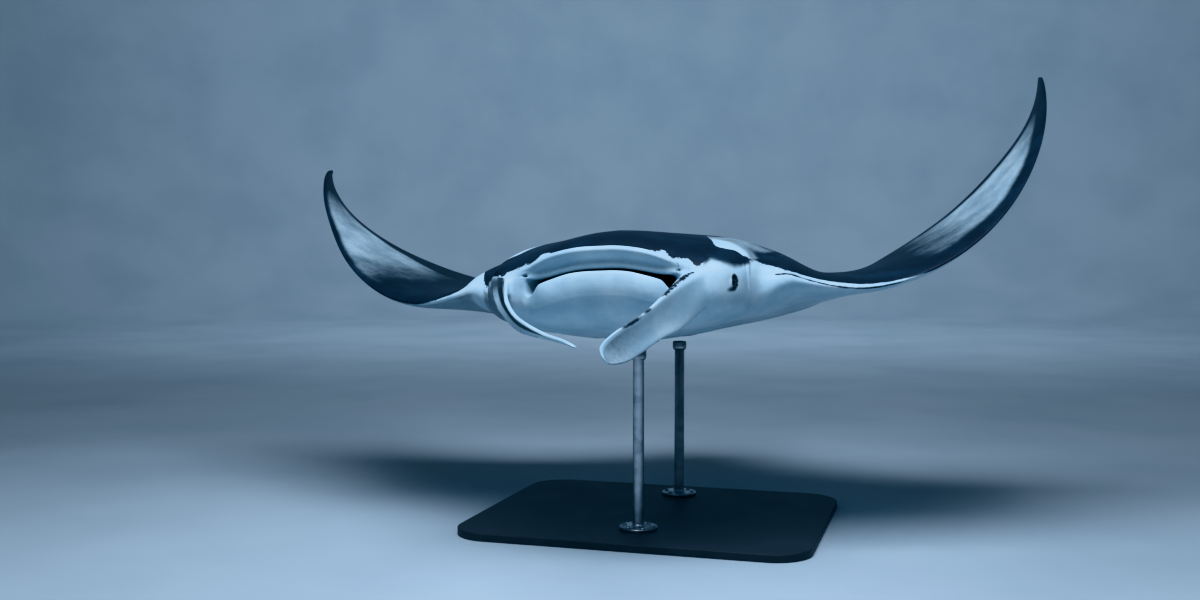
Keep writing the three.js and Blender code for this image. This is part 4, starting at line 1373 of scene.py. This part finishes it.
class BuildPosts(bpy.types.Operator):
    """Build the two turned posts, their feet, and the padded saddles that carry the belly"""
    bl_idname = "manta.posts"
    bl_label = "Posts"

    def execute(self, context):
        settings = context.scene.manta_stand
        steel, rubber = brushed_steel(settings), moulded_rubber(settings)
        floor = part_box("stand_base")[1].z
        across = Vector(pose(np.array([[1.0, 600, 0]]))[0]) - Vector(pose(np.array([[0.0, 600, 0]]))[0])
        foot, tall, tube, cup = (
            settings.flange_radius, settings.flange_height, settings.post_radius, settings.saddle_radius)
        quarter = np.linspace(0, math.pi / 2, 8)
        fillet = [(tube + FILLET * (1 - math.sin(a)), tall + FILLET * (1 - math.cos(a))) for a in quarter]
        # turned profiles, as radius and height: a post's foot, the dish of a saddle and the pad in it
        turned_foot = [(0, 0), (foot - 0.001, 0), (foot, 0.001), (foot, tall - 0.003),
                       (foot - 0.001, tall - 0.001), (foot - 0.003, tall), *fillet]
        dish = [(0, 0), (tube + 0.004, 0), (cup - 0.012, 0.0025), (cup - 0.002, 0.006), (cup, 0.008),
                (cup, 0.012), (cup - 0.002, 0.0135), (0, 0.0135)]
        pad = [(0, 0.013), (cup - 0.004, 0.013), (cup - 0.001, 0.015), (cup - 0.001, 0.018),
               (cup - 0.003, 0.020), (0, 0.020)]
        for name, y in ROD_SPOTS.items():
            touch = keel(y)
            up = across.cross(keel(y + 40) - keel(y - 40)).normalized()
            top = touch.z - floor - SADDLE_DEPTH
            collar = [(tube, top - 0.04), (tube + 0.006, top - 0.034), (tube + 0.007, top - 0.03),
                      (tube + 0.007, top - 0.012), (tube + 0.005, top - 0.008), (0, top - 0.006)]
            post = lathe(f"stand_post_{name}", turned_foot + collar, steel, (touch.x, touch.y, floor))
            stand_for(post, "stand_rod", f"stand_rod_{name}")
            seat = touch - SEAT_DEPTH * up
            for piece, profile, material in (("saddle", dish, steel), ("pad", pad, rubber)):
                stand_for(lathe(f"stand_{piece}_{name}", profile, material, seat, up), "stand_rod")
        return {"FINISHED"}


def screw_head(radius):
    """One domed screw head with a hexagonal socket, standing on the origin."""
    dome = [(1, 0), (1, 0.16), (0.94, 0.3), (0.78, 0.46), (0.58, 0.56), (0.46, 0.6)]
    socket = [(0.42, 0.59), (0.4, 0.25)]
    turns = np.linspace(0, 2 * math.pi, SCREW_SIDES, endpoint=False)
    hexagon = math.cos(math.pi / 6) / np.cos(turns % (math.pi / 3) - math.pi / 6)
    points = []
    for outline, shape in ((dome, np.ones(SCREW_SIDES)), (socket, hexagon)):
        for r, z in outline:
            points += [(radius * r * k * math.cos(a), radius * r * k * math.sin(a), radius * z)
                       for a, k in zip(turns, shape)]
    return points, ring_faces(len(dome) + len(socket), SCREW_SIDES)


def screw_tree(head, material):
    """Geometry Nodes: a ring of screws round every point of the mesh it is given."""
    tree = bpy.data.node_groups.new("screws_round_each_foot", "GeometryNodeTree")
    tree.interface.new_socket("Geometry", in_out="INPUT", socket_type="NodeSocketGeometry")
    sizes = {"Count": "NodeSocketInt", "Bolt Circle": "NodeSocketFloat"}
    sockets = {name: tree.interface.new_socket(name, in_out="INPUT", socket_type=kind).identifier
               for name, kind in sizes.items()}
    tree.interface.new_socket("Geometry", in_out="OUTPUT", socket_type="NodeSocketGeometry")
    given = tree.nodes.new("NodeGroupInput").outputs
    ring = add(tree, "MeshCircle", {"Vertices": given["Count"], "Radius": given["Bolt Circle"]})
    rings = add(tree, "InstanceOnPoints", {"Points": given["Geometry"], "Instance": ring})
    spots = add(tree, "RealizeInstances", [rings])
    shape = add(tree, "ObjectInfo", {"Object": head}, output="Geometry")
    heads = add(tree, "InstanceOnPoints", {"Points": spots, "Instance": shape})
    solid = add(tree, "RealizeInstances", [heads])
    finished = add(tree, "SetMaterial", {"Geometry": solid, "Material": material})
    tree.links.new(finished, tree.nodes.new("NodeGroupOutput").inputs[0])
    return tree, sockets


class BuildScrews(bpy.types.Operator):
    """Set a ring of domed socket screws into the foot of each post"""
    bl_idname = "manta.screws"
    bl_label = "Screws"

    def execute(self, context):
        settings = context.scene.manta_stand
        material = bpy.data.materials.get("post_brushed_stainless_steel")
        if material is None:
            raise RuntimeError("build the posts before their screws")
        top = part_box("stand_base")[1].z + settings.flange_height
        feet = [(keel(y).x, keel(y).y, top) for y in ROD_SPOTS.values()]
        head = make_object("screw_head", *screw_head(settings.screw_radius), material)
        screws = make_object("stand_screws", feet, [], material)
        tree, sockets = screw_tree(head, material)
        modifier = screws.modifiers.new("Screws", "NODES")
        modifier.node_group = tree
        modifier[sockets["Count"]] = settings.screws
        modifier[sockets["Bolt Circle"]] = settings.bolt_circle
        shown = screws.evaluated_get(context.evaluated_depsgraph_get())
        mesh = bpy.data.meshes.new_from_object(shown)
        screws.modifiers.clear()
        screws.data = mesh
        mesh.shade_smooth()
        mesh.set_sharp_from_angle(angle=math.radians(38))
        bpy.data.objects.remove(head)
        if not mesh.polygons:
            raise RuntimeError("the screws came out empty")
        stand_for(screws, "stand_rod")
        return {"FINISHED"}


# Soft lights: name, the setting for its power, where it hangs, its aim, its width and height, and tint.
SOFTBOXES = [
    ("key_softbox", "key", (0.3, -1.5, 3.3), (0, -0.35, 0.7), (2.6, 1.6), "#D6E8FB"),
    ("fill_softbox", "fill", (-1.6, -4.2, 1.6), (0, -0.4, 0.75), (2.4, 1.8), "#DCEBFA"),
    ("wall_softbox", "wall_light", (-1.6, 6.4, 6.0), (-2.8, 12.5, 0.6), (9, 1.6), "#CFE3F7"),
]
EVEN_LIGHT = "#C4D8EA"
WALL_HEIGHTS = (6, 10)
# the camera's angle round from the front and up, in degrees, and its place before the snout, in metres
CAMERA_TURN, CAMERA_RISE = 16.65, 2.6
CAMERA_DISTANCE, CAMERA_RIGHT, CAMERA_DOWN = 3.357, 0.0057, 0.0138
LENS = 36.9


class BuildStudio(bpy.types.Operator):
    """Build the pale floor and round wall, the soft lights and the camera"""
    bl_idname = "manta.studio"
    bl_label = "Studio"

    def execute(self, context):
        scene, settings = context.scene, context.scene.manta_studio
        wall, cove = settings.wall, settings.cove
        profile = [((wall - cove) * k / 6, 0) for k in range(7)]
        profile += [(wall - cove + cove * math.sin(a), cove * (1 - math.cos(a)))
                    for a in np.linspace(0, math.pi / 2, 13)[1:]]
        profile += [(wall, height) for height in WALL_HEIGHTS]
        floor = lathe("studio_floor", profile, studio_paint(settings), (0, 0, 0), sides=96)
        floor.data.flip_normals()

        for name, setting, spot, aim, size, tint in SOFTBOXES:
            light = bpy.data.lights.new(name, "AREA")
            light.shape, light.size, light.size_y = "RECTANGLE", *size
            light.energy, light.color = getattr(settings, setting), linear(tint, alpha=False)
            lamp = bpy.data.objects.new(name, light)
            scene.collection.objects.link(lamp)
            lamp.location = spot
            lamp.visible_camera = False
            lamp.rotation_euler = (Vector(aim) - Vector(spot)).to_track_quat("-Z", "Y").to_euler()
        scene.world = bpy.data.worlds.new("even_light")
        scene.world.use_nodes = True
        background = scene.world.node_tree.nodes["Background"]
        background.inputs["Color"].default_value = linear(EVEN_LIGHT)
        background.inputs["Strength"].default_value = settings.sky

        turn, rise = math.radians(CAMERA_TURN), math.radians(CAMERA_RISE)
        back = Vector((math.sin(turn) * math.cos(rise), -math.cos(turn) * math.cos(rise), math.sin(rise)))
        right = Vector((math.cos(turn), math.sin(turn), 0))
        up = back.cross(right)
        camera = bpy.data.objects.new("camera", bpy.data.cameras.new("camera"))
        camera.data.lens, camera.data.sensor_width = LENS, 36
        camera.data.clip_end = 100
        snout = Vector((0, -STAND_Y, RIDE_HEIGHT)) * MM
        camera.location = snout + CAMERA_DISTANCE * back + CAMERA_RIGHT * right - CAMERA_DOWN * up
        camera.rotation_euler = Matrix((right, up, back)).transposed().to_euler()
        scene.collection.objects.link(camera)
        scene.camera = camera
        scene.view_settings.view_transform = "Khronos PBR Neutral"
        return {"FINISHED"}


STEPS = (BuildSkin, BuildEyes, BuildPlate, BuildPosts, BuildScrews, BuildStudio)


class MantaPanel(bpy.types.Panel):
    """Shows every size and colour, and a button for each step"""
    bl_idname = "VIEW3D_PT_manta"
    bl_label = "Manta Ray"
    bl_space_type = "VIEW_3D"
    bl_region_type = "UI"
    bl_category = "Manta Ray"

    def draw(self, context):
        for name, group in SETTINGS.items():
            column = self.layout.box().column()
            column.label(text=name.replace("_", " ").capitalize())
            for setting in group.__annotations__:
                column.prop(getattr(context.scene, name), setting)
        for step in STEPS:
            self.layout.operator(step.bl_idname)


SETTINGS = {
    "manta_hide": MantaHide,
    "manta_eye": MantaEye,
    "manta_stand": MantaStand,
    "manta_studio": MantaStudio,
}
CLASSES = (*SETTINGS.values(), *STEPS, MantaPanel)


def register():
    for item in CLASSES:
        bpy.utils.register_class(item)
    for name, group in SETTINGS.items():
        setattr(bpy.types.Scene, name, bpy.props.PointerProperty(type=group))


def unregister():
    for name in SETTINGS:
        delattr(bpy.types.Scene, name)
    for item in reversed(CLASSES):
        bpy.utils.unregister_class(item)


def main():
    register()
    for step in STEPS:
        group, name = step.bl_idname.split(".")
        getattr(getattr(bpy.ops, group), name)()


if __name__ == "__main__":
    main()
